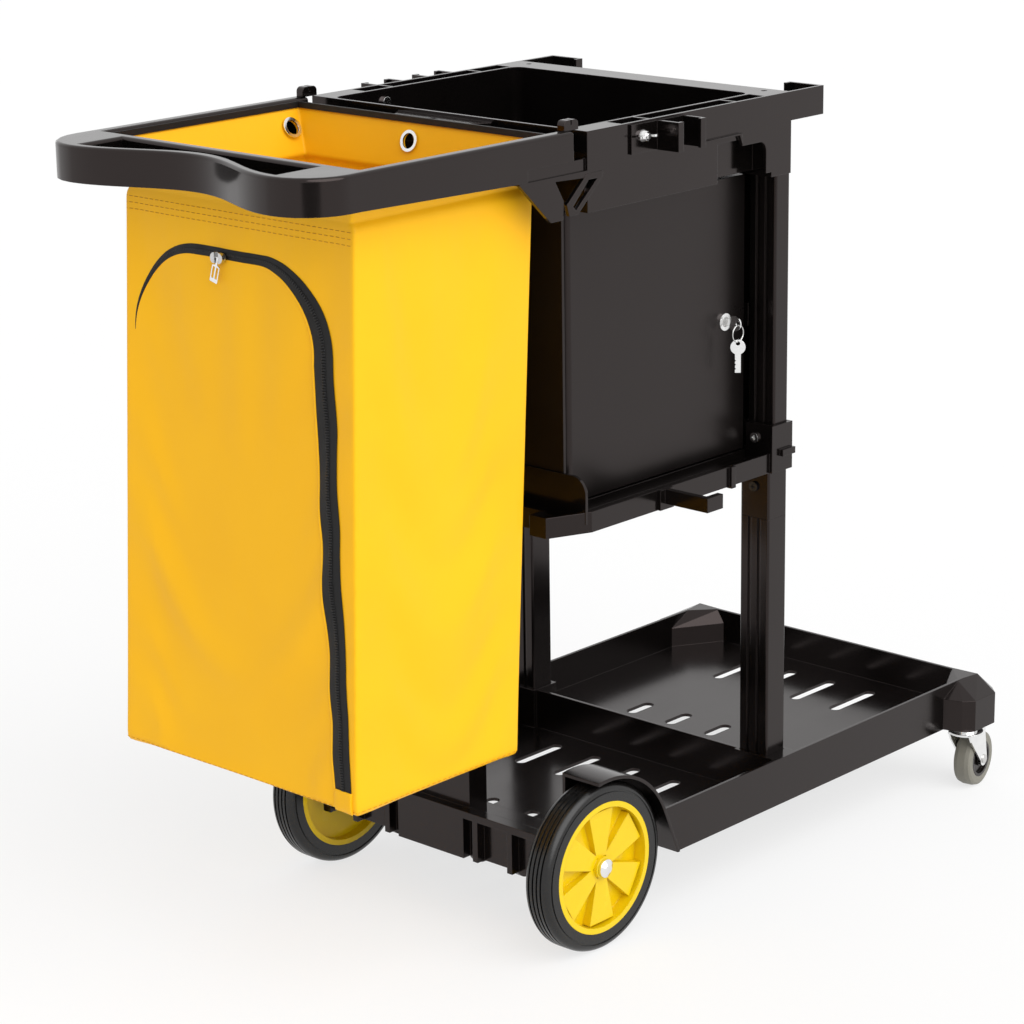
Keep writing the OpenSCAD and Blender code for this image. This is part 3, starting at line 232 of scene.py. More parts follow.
class Finish(Shading):
    """A material with one Principled shader."""

    def __init__(self, name, **fixed):
        self.material = bpy.data.materials.new(name)
        super().__init__(self.material)
        self.shader = self.tree.nodes["Principled BSDF"]
        for socket, value in fixed.items():
            self.shader.inputs[socket.replace("_", " ")].default_value = value
        self.place = self.node("ShaderNodeTexCoord", output="Object")

    def axes(self):
        """The three coordinates as wires."""
        x = self.node("ShaderNodeSeparateXYZ", {}, {0: self.place})
        return x, x.other("Y"), x.other("Z")

    def noise(self, size, detail=2.0, stretch=(1, 1, 1)):
        """Noise whose features have about one size, stretched along the axes."""
        scale = tuple(1 / (size * s) for s in stretch)
        where = self.node("ShaderNodeMapping", {}, {"Vector": self.place, "Scale": scale})
        sockets = {"Vector": where, "Scale": 1.0, "Detail": detail}
        return self.node("ShaderNodeTexNoise", {}, sockets)

    def mix(self, share, low, high):
        """A colour between two colours."""
        return self.node("ShaderNodeMix", {"data_type": "RGBA"}, {0: share, 6: low, 7: high}, 2)

    def colour(self, share, low, high):
        self.feed(self.shader.inputs["Base Color"], self.mix(share, (*low, 1), (*high, 1)))

    def rough(self, value):
        self.feed(self.shader.inputs["Roughness"], value)

    def bump(self, height, edge=0.0):
        """Relief, given as a height in metres, on edges that are rounded by a radius."""
        sockets = {"Strength": 1.0, "Distance": 1.0, "Height": height}
        if edge:
            sockets["Normal"] = self.node("ShaderNodeBevel", {"samples": 4}, {"Radius": edge})
        self.feed(self.shader.inputs["Normal"], self.node("ShaderNodeBump", {}, sockets))


print("Wires add Math nodes for +, - and *")

# %% [markdown]
# ## Black mouldings
# Most of the cart is injection moulded polypropylene: nearly black and glossy, with the fine grain that the
# mould's steel leaves and a slow unevenness where the melt cooled. No moulding has knife edges: a radius of a
# millimetre catches a thin line of light, and that line tells the eye how the piece is built. Bevelling every
# edge of such thin-walled mouldings breaks their meshes, so the shader's Bevel node rounds the shading there.
# Three gloss levels share one recipe: the handle and bin are polished, the base and shelf are satin, and the
# door's sheet is the dullest.

# %% Black plastic
deep_black = (0.0016, 0.0013, 0.0012)
pale_black = (0.0042, 0.0035, 0.0033)
warm_shine = (1.0, 0.82, 0.79, 1)
cooling_size, grain_size, flow_size = 0.09, 0.0011, 0.03
flow_stretch = (6, 1, 1)


def moulded_black(name, shine, gloss_loss, grain_height, edge):
    made = Finish(name, IOR=1.45, Specular_IOR_Level=shine, Specular_Tint=warm_shine)
    drift = made.noise(cooling_size, 3)
    grain = made.noise(grain_size)
    flow = made.noise(flow_size, stretch=flow_stretch)
    made.colour(drift * 0.7 + grain * 0.3, deep_black, pale_black)
    made.rough(gloss_loss + drift.swing(0.10) + flow.swing(0.05) + grain.swing(0.04))
    made.bump(grain * grain_height + flow * grain_height * 3, edge)
    return made.material


polished_black = moulded_black(
    "polished_black", shine=0.50, gloss_loss=0.13, grain_height=0.000004, edge=0.0012
)
satin_black = moulded_black(
    "satin_black", shine=0.44, gloss_loss=0.18, grain_height=0.000006, edge=0.0012
)
sheet_black = moulded_black(
    "sheet_black", shine=0.44, gloss_loss=0.30, grain_height=0.000010, edge=0.0008
)
print("Three black finishes")

# %% [markdown]
# ## Yellow pieces
# The bag is coated fabric: a woven base whose threads print faintly through a vinyl skin. The weave comes
# from two sine waves, one up the wall and one along it; the sum of X and Y runs along every wall, so
# one formula serves all four. Slow noise gives the soft creases that a folded bag keeps. The wheel hubs are
# a greener, glossier plastic.

# %% Yellow vinyl and yellow plastic
drift_size, crease_size = 0.13, 0.05
crease_stretch = (1, 1, 2.2)


def coated_fabric(name, low, high, thread):
    made = Finish(name, IOR=1.45, Specular_IOR_Level=0.20)
    x, y, z = made.axes()
    weave = (x + y).wave(thread) * z.wave(thread)
    drift = made.noise(drift_size, 3)
    crease = made.noise(crease_size, 4, crease_stretch)
    made.colour(drift * 0.75 + weave * 0.25, low, high)
    made.rough(0.46 + drift.swing(0.16) + weave.swing(0.05))
    made.bump(weave * 0.000035 + crease * 0.0011 + drift * 0.0012)
    return made.material


yellow_vinyl = coated_fabric(
    "yellow_vinyl", low=(0.88, 0.44, 0.005), high=(0.96, 0.51, 0.010), thread=0.0011
)

hub_yellow = Finish("hub_yellow", IOR=1.48, Specular_IOR_Level=0.35)
hub_drift = hub_yellow.noise(0.03, 3)
hub_grain = hub_yellow.noise(0.0009, 2)
hub_yellow.colour(hub_drift, (0.70, 0.485, 0.001), (0.78, 0.55, 0.004))
hub_yellow.rough(0.26 + hub_drift.swing(0.10) + hub_grain.swing(0.05))
hub_yellow.bump(hub_grain * 0.000006, 0.0012)
print("Yellow finishes:", yellow_vinyl.name, hub_yellow.material.name)

# %% [markdown]
# ## Rubber, metal and tape
# Tyre rubber is duller and softer than the plastic, with a fine bloom. The caster treads are grey rubber.
# Screws, caps, lock and forks are plated steel: bright, with faint smears and pits. The zip's tape and the
# bag's binding are woven black polyester, and the seams are sewn with thread a little darker than the vinyl.

# %% Rubber


def rubber(name, low, high, gloss_loss):
    made = Finish(name, IOR=1.48)
    bloom = made.noise(0.025, 4)
    grit = made.noise(0.0007, 2)
    made.colour(bloom * 0.6 + grit * 0.4, low, high)
    made.rough(gloss_loss + bloom.swing(0.18) + grit.swing(0.08))
    made.bump(grit * 0.000010 + bloom * 0.00008, 0.0006)
    return made.material


tyre_rubber = rubber(
    "tyre_rubber", low=(0.0022, 0.0020, 0.0019), high=(0.0060, 0.0055, 0.0052), gloss_loss=0.27
)
grey_rubber = rubber(
    "grey_rubber", low=(0.150, 0.142, 0.115), high=(0.215, 0.205, 0.170), gloss_loss=0.48
)
print("Rubber finishes:", tyre_rubber.name, grey_rubber.name)

# %% Metal


def plated(name, low, high, gloss_loss):
    made = Finish(name, Metallic=1.0)
    smear = made.noise(0.012, 4)
    pit = made.noise(0.0006, 1)
    made.colour(smear, low, high)
    made.rough(gloss_loss + smear.swing(0.16) + pit.swing(0.06))
    made.bump(pit * 0.000004 + smear * 0.00002, 0.0005)
    return made.material


bright_plate = plated(
    "bright_plate", low=(0.74, 0.74, 0.74), high=(0.90, 0.90, 0.89), gloss_loss=0.15
)
bare_steel = plated(
    "bare_steel", low=(0.50, 0.50, 0.49), high=(0.68, 0.67, 0.66), gloss_loss=0.27
)
print("Metal finishes:", bright_plate.name, bare_steel.name)

# %% Tape and thread


def woven(name, low, high, thread, gloss_loss):
    made = Finish(name, Specular_IOR_Level=0.3)
    x, y, z = made.axes()
    rib = (x + y + z).wave(thread) * (y - z).wave(thread)
    worn = made.noise(0.02, 3)
    made.colour(rib * 0.5 + worn * 0.5, low, high)
    made.rough(gloss_loss + worn.swing(0.14))
    made.bump(rib * 0.00012)
    return made.material


black_tape = woven(
    "black_tape",
    low=(0.0022, 0.0019, 0.0019),
    high=(0.0065, 0.0058, 0.0057),
    thread=0.0013,
    gloss_loss=0.55,
)
black_nylon = woven(
    "black_nylon",
    low=(0.0040, 0.0037, 0.0040),
    high=(0.0110, 0.0105, 0.0112),
    thread=0.0016,
    gloss_loss=0.30,
)
yellow_thread = woven(
    "yellow_thread",
    low=(0.58, 0.26, 0.006),
    high=(0.68, 0.32, 0.010),
    thread=0.0010,
    gloss_loss=0.60,
)
print("Textile finishes:", black_tape.name, black_nylon.name, yellow_thread.name)

# %% [markdown]
# ## The handle's round edges
# Hands hold the handle, so its upper edges are rounded far more than those of the other mouldings, and that
# changes its outline. This one piece is copied, its loose triangles are merged and dissolved into whole
# faces, and the edges of its top face are bevelled.

# %% Round the handle
merge_gap = 0.00001
same_plane = radians(0.6)
sharp_edge = radians(33)
grip_radius = 0.0042
frame_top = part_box("bag_frame")[1].z


def copied(node, name):
    """A copy of a node's mesh, with its loose triangles merged."""
    piece = add(name, nodes[node].data.copy())
    edit(piece, "EDGE")
    bpy.ops.mesh.select_all(action="SELECT")
    bpy.ops.mesh.customdata_custom_splitnormals_clear()
    bpy.ops.mesh.remove_doubles(threshold=merge_gap)
    leave()
    return piece


def sharp(edge):
    return len(edge.link_faces) == 2 and edge.calc_face_angle(0) > sharp_edge


def top_edge(edge):
    """A sharp edge of the frame's top face."""
    return sharp(edge) and min(v.co.z for v in edge.verts) > frame_top - merge_gap


handle = copied("bag_frame", "handle_frame")
edit(handle, "EDGE")
bpy.ops.mesh.select_all(action="SELECT")
bpy.ops.mesh.dissolve_limited(angle_limit=same_plane)
pick(handle, top_edge, "edges")
bpy.ops.mesh.bevel(offset=grip_radius, segments=5, affect="EDGES", clamp_overlap=True)
leave()
smooth(handle, 35)
apply(handle, "WEIGHTED_NORMAL", keep_sharp=True)
fit(handle, "cart", polished_black)
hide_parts("bag_frame")
print("The handle has", len(handle.data.polygons), "faces")

# %% [markdown]
# ## The spare key
# The spare key hangs loose on its ring, and in the photograph it has turned its flat face outwards. A copy of
# the piece is turned about the line it hangs from.

# %% Turn the spare key
key_turn = radians(42.7)
hang_line = sum(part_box("key_ring"), Vector()) / 2
spare = copied("spare_key", "turned_spare_key")
to_line = Matrix.Translation(hang_line)
turn = Matrix.Rotation(key_turn, 4, "Z")
spare.data.transform(to_line @ turn @ Matrix.Translation(-hang_line))
smooth(spare, 30)
fit(spare, "key_bunch", bright_plate)
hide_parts("spare_key")
print("The spare key has turned by", round(key_turn * 180 / pi), "degrees")

# %% [markdown]
# ## Pieces that only need a finish
# Apart from the zip's pull, the other rigid pieces are right as the frame has them. Each one gets its finish
# in its own material slot.
# The screws in the shelf's sockets are plated above the shelf and dark, not metallic, below it.

# %% Two-tone screws
tone_height, tone_blend = 0.50, 0.002
# Below the shelf's height the screws are drawn dark and not metallic; above it they are plated.
dark_tone, plate_tone = (0.006, 0.005, 0.005), (0.84, 0.84, 0.83)
screw_plate = Finish("screw_plate")
_, _, screw_height = screw_plate.axes()
plated_share = screw_height.above(tone_height, tone_blend)
screw_smear = screw_plate.noise(0.004, 3)
screw_plate.colour(plated_share * (0.85 + screw_smear * 0.15), dark_tone, plate_tone)
screw_plate.feed(screw_plate.shader.inputs["Metallic"], plated_share)
screw_plate.rough(0.16 + screw_smear * 0.14)
screw_plate.bump(screw_smear * 0.00002, 0.0004)
print("Screws change finish at the shelf")

# %% Dress the rigid pieces
finish_of_slot = {
    "zinc": bright_plate,
    "steel": bare_steel,
    "tyre_rubber": tyre_rubber,
    "grey_rubber": grey_rubber,
    "black_binding": black_tape,
    "black_plastic": satin_black,
    "yellow_plastic": hub_yellow.material,
    "yellow_vinyl": yellow_vinyl,
}
polished = ["top_tray", "frame_latches", "tool_holder_near", "tool_holder_far"]
sheets = ["door", "cabinet_rear_panel", "cabinet_front_panel", "cabinet_far_panel"]
finish_of_node = {name: polished_black for name in polished}
finish_of_node.update({name: sheet_black for name in sheets})
finish_of_node["post_screws"] = screw_plate.material
finish_of_node["zipper_slider"] = bare_steel
for name, node in nodes.items():
    by_slot = finish_of_slot[node.material_slots[0].material.name]
    node.material_slots[0].material = finish_of_node.get(name, by_slot)
print("Finishes in use:", sorted({n.material_slots[0].material.name for n in nodes.values()}))

# %% [markdown]
# ## The bag
# The bag is a box sewn from coated fabric that hangs in the handle's frame by its hem. It could be drawn as
# five plates, but cloth is never flat: it hangs from its neck, bellies a little and puckers near the seams.
# So a box is drawn out to the bag's outline, with its base a little lower and its sides puffed out below the
# neck, its corners are rounded, it is cut into small cells, and a short cloth simulation lets it hang from
# its neck. The movement is capped, so that the bag keeps its place.

# %% The bag's outline, read from the frame
neck_height = 0.904
shoulder_height = 0.897
level_band = 0.001
sag = 0.005
foot_puff = Vector((-0.003, 0.005, 0))
shoulder_puff = Vector((0.004, 0.005, 0))
neck_puff = Vector((0, 0.003, 0))


def outline_at(name, height):
    """Lowest and highest corner of a node's points at one height."""
    spots = [v.co for v in nodes[name].data.vertices if abs(v.co.z - height) < level_band]
    low = Vector((min(p.x for p in spots), min(p.y for p in spots), height))
    high = Vector((max(p.x for p in spots), max(p.y for p in spots), height))
    return low, high


def level_at(height, lower, upper):
    """The outline at a height between two others."""
    share = (height - lower[0].z) / (upper[0].z - lower[0].z)
    return lower[0].lerp(upper[0], share), lower[1].lerp(upper[1], share)


def puffed(level, puff):
    """An outline whose two sides, and the end towards the shelf, are moved outwards."""
    return level[0] - Vector((0, puff.y, 0)), level[1] + puff


bag_low, bag_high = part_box("bag")
foot = [corner - Vector((0, 0, sag)) for corner in outline_at("bag", bag_low.z)]
bag_low.z -= sag
neck = puffed(outline_at("bag", neck_height), neck_puff)
mouth = outline_at("bag", bag_high.z)
shoulder = puffed(level_at(shoulder_height, foot, neck), shoulder_puff)
foot = puffed(foot, foot_puff)
for name, level in (("foot", foot), ("shoulder", shoulder), ("neck", neck), ("mouth", mouth)):
    print(name, "is", [round(s, 3) for s in level[1] - level[0]][:2], "at", round(level[0].z, 3))

# %% Draw the box out to the bag's outline


def middle(level):
    return (level[0] + level[1]) / 2


def spread(level):
    return level[1] - level[0]


def move_top(start, end):
    """Moves the selected top face from one outline to another."""
    ratio = [spread(end)[i] / spread(start)[i] for i in (0, 1)]
    bpy.ops.transform.translate(value=middle(end) - middle(start))
    bpy.ops.transform.resize(value=(ratio[0], ratio[1], 1), center_override=middle(end))


def upright(edge):
    """An edge that joins two levels."""
    return abs(edge.verts[0].co.z - edge.verts[1].co.z) > least_rise


fabric = 0.0014
corner_round = 0.004
least_rise = 0.004

bpy.ops.object.select_all(action="DESELECT")
bpy.ops.mesh.primitive_cube_add(size=1)
bag = bpy.context.object
bag.name = "bag_shell"
wall = shoulder_height - bag_low.z
bag.dimensions = (spread(foot).x, spread(foot).y, wall)
bag.location = middle(foot) + Vector((0, 0, wall / 2))
settle(bag)
edit(bag)
pick(bag, lambda f: f.normal.z > facing)
above_foot = [corner + Vector((0, 0, wall)) for corner in foot]
move_top(above_foot, shoulder)
for lower, upper in ((shoulder, neck), (neck, mouth)):
    bpy.ops.mesh.extrude_region_move()
    move_top(lower, upper)
bpy.ops.mesh.delete(type="FACE")
pick(bag, upright, "edges")
bpy.ops.mesh.bevel(offset=corner_round, segments=3, affect="EDGES")
leave()
print("The bag's cage has", len(bag.data.polygons), "faces")

# %% Cut the walls into cells
cell = 0.0125


def cut_cells(axis, low, high):
    """Cuts the piece being edited by evenly spaced planes across one axis."""
    count = round((high - low) / cell)
    normal = Vector((0, 0, 0))
    normal[axis] = 1
    for i in range(1, count):
        spot = normal * (low + (high - low) * i / count)
        bpy.ops.mesh.select_all(action="SELECT")
        bpy.ops.mesh.bisect(plane_co=spot, plane_no=normal)
    return count


edit(bag)
inner = corner_round * 3
columns = cut_cells(0, neck[0].x + inner, foot[1].x - inner)
columns += cut_cells(1, neck[0].y + inner, neck[1].y - inner)
rows = cut_cells(2, bag_low.z, bag_high.z)
leave()
print("The bag has", columns, "columns,", rows, "rows and", len(bag.data.vertices), "points")

# %% Let it hang
frames = 28
most_move = 0.006
calm_reach = 0.07
hem_depth, base_reach, seam_reach = 0.012, 0.004, 0.006
base_hold, seam_hold = 0.45, 0.85
vinyl = {
    "quality": 6,
    "mass": 0.35,
    "tension_stiffness": 40,
    "compression_stiffness": 40,
    "shear_stiffness": 15,
    "bending_stiffness": 1.2,
    "shrink_min": -0.006,
    "use_pressure": True,
    "uniform_pressure_force": 0.35,
}
slider_spot = sum(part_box("zipper_slider"), Vector()) / 2
before = [v.co.copy() for v in bag.data.vertices]
held = bag.vertex_groups.new(name="held")


def bag_level(height):
    """The bag's outline at a height between its foot and its neck."""
    if height < shoulder_height:
        return level_at(height, foot, shoulder)
    return level_at(height, shoulder, neck)


def hold(spot):
    """How firmly the frame, the seams and the base board hold a point."""
    if spot.z > neck_height - hem_depth:
        return 1.0
    if spot.z < bag_low.z + base_reach:
        return base_hold
    low, high = bag_level(spot.z)
    side = min(spot.x - low.x, high.x - spot.x)
    end = min(spot.y - low.y, high.y - spot.y)
    return seam_hold if side < seam_reach and end < seam_reach else 0.0


for vertex in bag.data.vertices:
    held.add([vertex.index], hold(vertex.co), "REPLACE")


def hang(piece):
    """Runs the cloth simulation and leaves its last frame in the mesh."""
    only(piece)
    cloth = piece.modifiers.new("Hang", "CLOTH")
    for name, value in vinyl.items():
        setattr(cloth.settings, name, value)
    cloth.settings.vertex_group_mass = held.name
    cloth.collision_settings.use_collision = False
    scene = bpy.context.scene
    for step in range(1, frames + 1):
        scene.frame_set(step)
    bpy.ops.object.modifier_apply(modifier=cloth.name)
    scene.frame_set(1)


hang(bag)
moved = []
for vertex, start in zip(bag.data.vertices, before):
    shift = vertex.co - start
    limit = most_move * min(1, (start - slider_spot).length / calm_reach)
    if shift.length > limit:
        shift = shift.normalized() * limit
    vertex.co = start + shift
    moved.append(shift)
print("Cloth moved at most", round(max(s.length for s in moved) * 1000, 1), "mm")

# %% [markdown]
# ## Pieces that lie on the cloth
# The zip, the seams and the stitches are drawn on the bag's smooth outline, where their places are easy to
# say. Then each point goes to the same spot of the hung cloth and keeps its height above it.

# %% Follow the cloth
bag_faces = [tuple(f.vertices) for f in bag.data.polygons]
smooth_bag = BVHTree.FromPolygons(before, bag_faces)
apply(bag, "SUBSURF", levels=1, render_levels=1, boundary_smooth="PRESERVE_CORNERS")
skin_spots = [v.co for v in bag.data.vertices]
skin = BVHTree.FromPolygons(skin_spots, [tuple(f.vertices) for f in bag.data.polygons])


def lay_on_cloth(piece):
    """Moves a piece's points from the smooth outline to the hung cloth."""
    for vertex in piece.data.vertices:
        spot, normal, face, _ = smooth_bag.find_nearest(vertex.co)
        height = (vertex.co - spot).dot(normal)
        corners = bag_faces[face]
        weights = [1 / ((before[c] - spot).length + merge_gap) for c in corners]
        shift = sum((moved[c] * w for c, w in zip(corners, weights)), Vector()) / sum(weights)
        ground, slope, _, _ = skin.find_nearest(spot + shift)
        vertex.co = ground + slope * height
    return piece


print("The cloth has", len(bag_faces), "faces to follow")

# %% [markdown]
# ## Sweeping a small shape along a path
# Zips, welts and stitch rows are one short shape repeated along a line. By hand that is an Array modifier set
# to fit a curve, and then a Curve modifier that bends the row. The paths are flat, drawn in a plane whose X
# runs along the wall and whose Y runs up it, and the finished row is then turned onto the wall.

# %% Paths and rows
least_run = 0.002


def flat_path(name, spots, widths=None, closed=False):
    """A flat poly curve through a list of points, with a width at each."""
    data = bpy.data.curves.new(name, "CURVE")
    data.dimensions = "2D"
    line = data.splines.new("POLY")
    line.points.add(len(spots) - 1)
    for i, spot in enumerate(spots):
        line.points[i].co = (spot[0], spot[1], 0, 1)
        line.points[i].radius = widths[i] if widths else 1
    line.use_cyclic_u = closed
    return add(name, data)


def run_along(piece, path, place, pitch=1):
    """Repeats a piece along a path, at a pitch in its own lengths, and turns it onto its wall."""
    row = {"fit_type": "FIT_CURVE", "curve": path, "relative_offset_displace": (pitch, 0, 0)}
    if pitch == 1:
        row.update(use_merge_vertices=True, merge_threshold=merge_gap)
    apply(piece, "ARRAY", **row)
    apply(piece, "CURVE", object=path, deform_axis="POS_X")
    piece.data.transform(place)
    return piece


def block(name, low, high):
    """A cube primitive drawn out to a box, ready to be shaped."""
    bpy.ops.object.select_all(action="DESELECT")
    bpy.ops.mesh.primitive_cube_add(size=1)
    piece = bpy.context.object
    piece.name = name
    piece.dimensions = Vector(high) - Vector(low)
    piece.location = (Vector(high) + Vector(low)) / 2
    return settle(piece)


def lengthwise(edge):
    """An edge that runs along the path."""
    return abs(edge.verts[0].co.x - edge.verts[1].co.x) > least_run


print("Rows can be swept")

# %% [markdown]
# ## The zip
# A long zip opens the bag's rear panel: it comes up the right-hand edge, turns over in an arch and dies out
# at the left. It has a woven tape, a coil of nylon teeth along its middle, a welt of folded vinyl on its
# inner side and a sewn patch over its foot. Each is a short block, shaped once; the long ones run along one
# path.

# %% The zip's path on the rear panel
zip_half = 0.0085
arch_rise = 0.102
arch_drop = 0.106
turn_left, turn_right = 0.103, 0.093
arch_left, arch_right = -0.062, 0.038
arch_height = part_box("zipper_tape")[1].z - bag_low.z - arch_drop
zip_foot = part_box("zipper_tape")[0].z - bag_low.z
leg_slope = radians(4.5)
arc_steps = 18
leg_steps = 12
tip_width, top_width, leg_width, foot_width = 0.05, 0.68, 1.85, 1.5

up = Vector((neck[0].x - foot[0].x, 0, neck_height - bag_low.z)).normalized()
right = Vector((0, -1, 0))
out = right.cross(up)
panel = Matrix((right, up, out)).transposed().to_4x4()
panel.translation = Vector((foot[0].x, 0, bag_low.z))


def arc(centre_x, reach, start, end):
    """Points of one of the arch's turns, by angle in degrees."""
    angles = [radians(start + (end - start) * i / arc_steps) for i in range(arc_steps + 1)]
    return [(centre_x + reach * cos(a), arch_height + arch_rise * sin(a)) for a in angles]


def steps(start, end, count):
    """Even steps between two numbers or two points, the first one left out."""
    if isinstance(start, tuple):
        return list(zip(*(steps(a, b, count) for a, b in zip(start, end))))
    return [start + (end - start) * i / count for i in range(1, count + 1)]


leg_top = (arch_right + turn_right, arch_height)
leg_foot = (leg_top[0] + (arch_height - zip_foot) * tan(leg_slope), zip_foot)
zip_line = arc(arch_left, turn_left, 180, 90) + arc(arch_right, turn_right, 90, 0)
zip_line += steps(leg_top, leg_foot, leg_steps)
zip_widths = [tip_width] + steps(tip_width, top_width, arc_steps)
zip_widths += [top_width] + steps(top_width, leg_width, arc_steps)
zip_widths += steps(leg_width, foot_width, leg_steps)
zip_path = flat_path("zip_path", zip_line, zip_widths)
print("The zip's path has", len(zip_line), "points")

# %% Tape
tape_step = 0.006
tape_lift, tape_thick = 0.0002, 0.0008
tape_edge, tape_round = 0.008, 0.0004
tape = block("zip_tape", (0, -zip_half, tape_lift), (tape_step, zip_half, tape_thick))
edit(tape)
pick(tape, lambda f: abs(f.normal.x) > facing)
bpy.ops.mesh.delete(type="ONLY_FACE")
pick(tape, lambda f: f.normal.z > facing)
bpy.ops.mesh.subdivide(number_cuts=1)
pick(tape, lambda e: lengthwise(e) and abs(e.verts[0].co.y) > tape_edge, "edges")
bpy.ops.mesh.bevel(offset=tape_round, segments=2, affect="EDGES")
leave()
run_along(tape, zip_path, panel)
lay_on_cloth(tape)
smooth(tape)
fit(tape, "cart", black_tape)
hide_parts("zipper_tape")
print("Tape:", len(tape.data.polygons), "faces")

# %% Coil
coil_pitch = 0.0034
coil_half = 0.0020
coil_share = 0.72
coil_height = 0.0009
coil_top = (0.55, 0.72, 1)
coil_round = 0.0003
coil_low = (0, -coil_half, tape_thick)
coil_high = (coil_pitch * coil_share, coil_half, tape_thick + coil_height)
coil = block("zip_coil", coil_low, coil_high)
edit(coil)
pick(coil, lambda f: f.normal.z > facing)
bpy.ops.transform.resize(value=coil_top)
bpy.ops.mesh.select_all(action="SELECT")
bpy.ops.mesh.bevel(offset=coil_round, segments=1, affect="EDGES")
leave()
run_along(coil, zip_path, panel, 1 / coil_share)
lay_on_cloth(coil)
fit(coil, "cart", black_nylon)
print("Coil:", len(coil.data.polygons), "faces")

# %% A welt of folded vinyl on the inner side
welt_width = 0.0018
welt_sunk, welt_high = -0.0004, 0.0011
welt_round = 0.0006
welt_low = (0, -zip_half - welt_width, welt_sunk)
welt = block("zip_welt", welt_low, (tape_step, -zip_half, welt_high))
edit(welt)
pick(welt, lambda f: abs(f.normal.x) > facing)
bpy.ops.mesh.delete(type="ONLY_FACE")
pick(welt, lambda e: lengthwise(e) and e.verts[0].co.z > 0, "edges")
bpy.ops.mesh.bevel(offset=welt_round, segments=3, affect="EDGES")
leave()
run_along(welt, zip_path, panel)
lay_on_cloth(welt)
smooth(welt)
fit(welt, "cart", yellow_vinyl)
print("Welt:", len(welt.data.polygons), "faces")

# %% Patch below the zip's foot
patch_margin = 0.0005
patch_start, patch_lap = 0.003, 0.005
patch_sunk, patch_high = -0.0003, 0.0026
patch_round = 0.0007
patch_half = zip_half * foot_width + patch_margin
patch_low = (-patch_half, patch_start, patch_sunk)
patch = block("zip_patch", patch_low, (patch_half, zip_foot + patch_lap, patch_high))
edit(patch)
bpy.ops.mesh.select_all(action="SELECT")
bpy.ops.mesh.subdivide(number_cuts=3)
pick(patch, lambda e: sharp(e) and e.verts[0].co.z > 0 and e.verts[1].co.z > 0, "edges")
bpy.ops.mesh.bevel(offset=patch_round, segments=2, affect="EDGES")
leave()
patch.data.transform(panel @ Matrix.Translation((leg_foot[0], 0, 0)))
lay_on_cloth(patch)
smooth(patch)
fit(patch, "cart", yellow_vinyl)
print("Patch:", len(patch.data.polygons), "faces")

# %% [markdown]
# ## The zip's pull
# The pull is a flat tag with two long slots, hung from the slider's pin by a narrow neck. It is drawn in the
# panel's plane with the pin as its centre, and it hangs a little askew, as a loose tag does.

# %% Pull
neck_half, tag_half = 0.0015, 0.0060
neck_end, tag_start, tag_end = -0.0080, -0.0096, -0.0280
tag_thick = 0.0007
slot_inner, slot_outer, slot_end = 0.0010, 0.0044, 0.0045
tag_round = 0.0002
pin_radius, pin_half = 0.0007, 0.0055
askew = radians(-14)
pin_spot = next(Vector(j["pos_m"]) for j in frame["joints"] if j["name"] == "zip_pull_lift")
pull = block("pull_tag", (-neck_half, neck_end, -tag_thick), (neck_half, tag_thick, tag_thick))
edit(pull)
pick(pull, lambda f: f.normal.y < -facing)
bpy.ops.mesh.extrude_region_move()
bpy.ops.transform.translate(value=(0, tag_start - neck_end, 0))
bpy.ops.transform.resize(value=(tag_half / neck_half, 1, 1))
bpy.ops.mesh.extrude_region_move()
bpy.ops.transform.translate(value=(0, tag_end - tag_start, 0))
leave()
for side in (-1, 1):
    edges = sorted((side * slot_inner, side * slot_outer))
    low = (edges[0], tag_end + slot_end, -2 * tag_thick)
    high = (edges[1], tag_start - slot_inner, 2 * tag_thick)
    cutter = block("cutter", low, high)
    apply(pull, "BOOLEAN", operation="DIFFERENCE", object=cutter, solver="EXACT")
    bpy.data.objects.remove(cutter)
apply(pull, "BEVEL", width=tag_round, segments=2, limit_method="ANGLE")
pull.data.transform(Matrix.Rotation(askew, 4, "Z"))
edit(pull)
bpy.ops.mesh.primitive_cylinder_add(
    vertices=20, radius=pin_radius, depth=2 * pin_half, rotation=(0, pi / 2, 0)
)
leave()
pull.data.transform(Matrix.Translation(pin_spot) @ panel.to_3x3().to_4x4())
smooth(pull, 30)
fit(pull, "zip_pull", bright_plate)
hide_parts("zipper_pull")
print("Pull:", len(pull.data.polygons), "faces")

# %% [markdown]
# ## Seams and stitches
# A row of stitches runs round the bag's foot where the base is sewn in, and three more hold the rear panel's
# hem below the neck. A stitch is a short block with its edges taken off; a row is an array of them bent round
# the bag.

# %% A path round the bag
corner_steps = 6


def round_path(name, level, radius):
    """A rounded rectangle at one level, just outside the cloth."""
    half = spread(level) / 2
    centre = middle(level)
    spots = []
    for turn_index, (sx, sy) in enumerate(((1, 1), (-1, 1), (-1, -1), (1, -1))):
        for i in range(corner_steps + 1):
            angle = radians(90 * turn_index + 90 / corner_steps * i)
            x = centre.x + sx * (half.x - radius) + radius * cos(angle)
            y = centre.y + sy * (half.y - radius) + radius * sin(angle)
            spots.append((x, y))
    return flat_path(name, spots, closed=True)


def keep_rear(piece, edge):
    """Deletes every stitch of a row that reaches past an edge of the rear panel."""
    edit(piece, "VERT")
    pick(piece, lambda v: v.co.x > edge, "verts")
    bpy.ops.mesh.select_linked()
    bpy.ops.mesh.delete(type="VERT")
    leave()


print("The bag's girth at its foot is", round(2 * (spread(foot).x + spread(foot).y), 3))

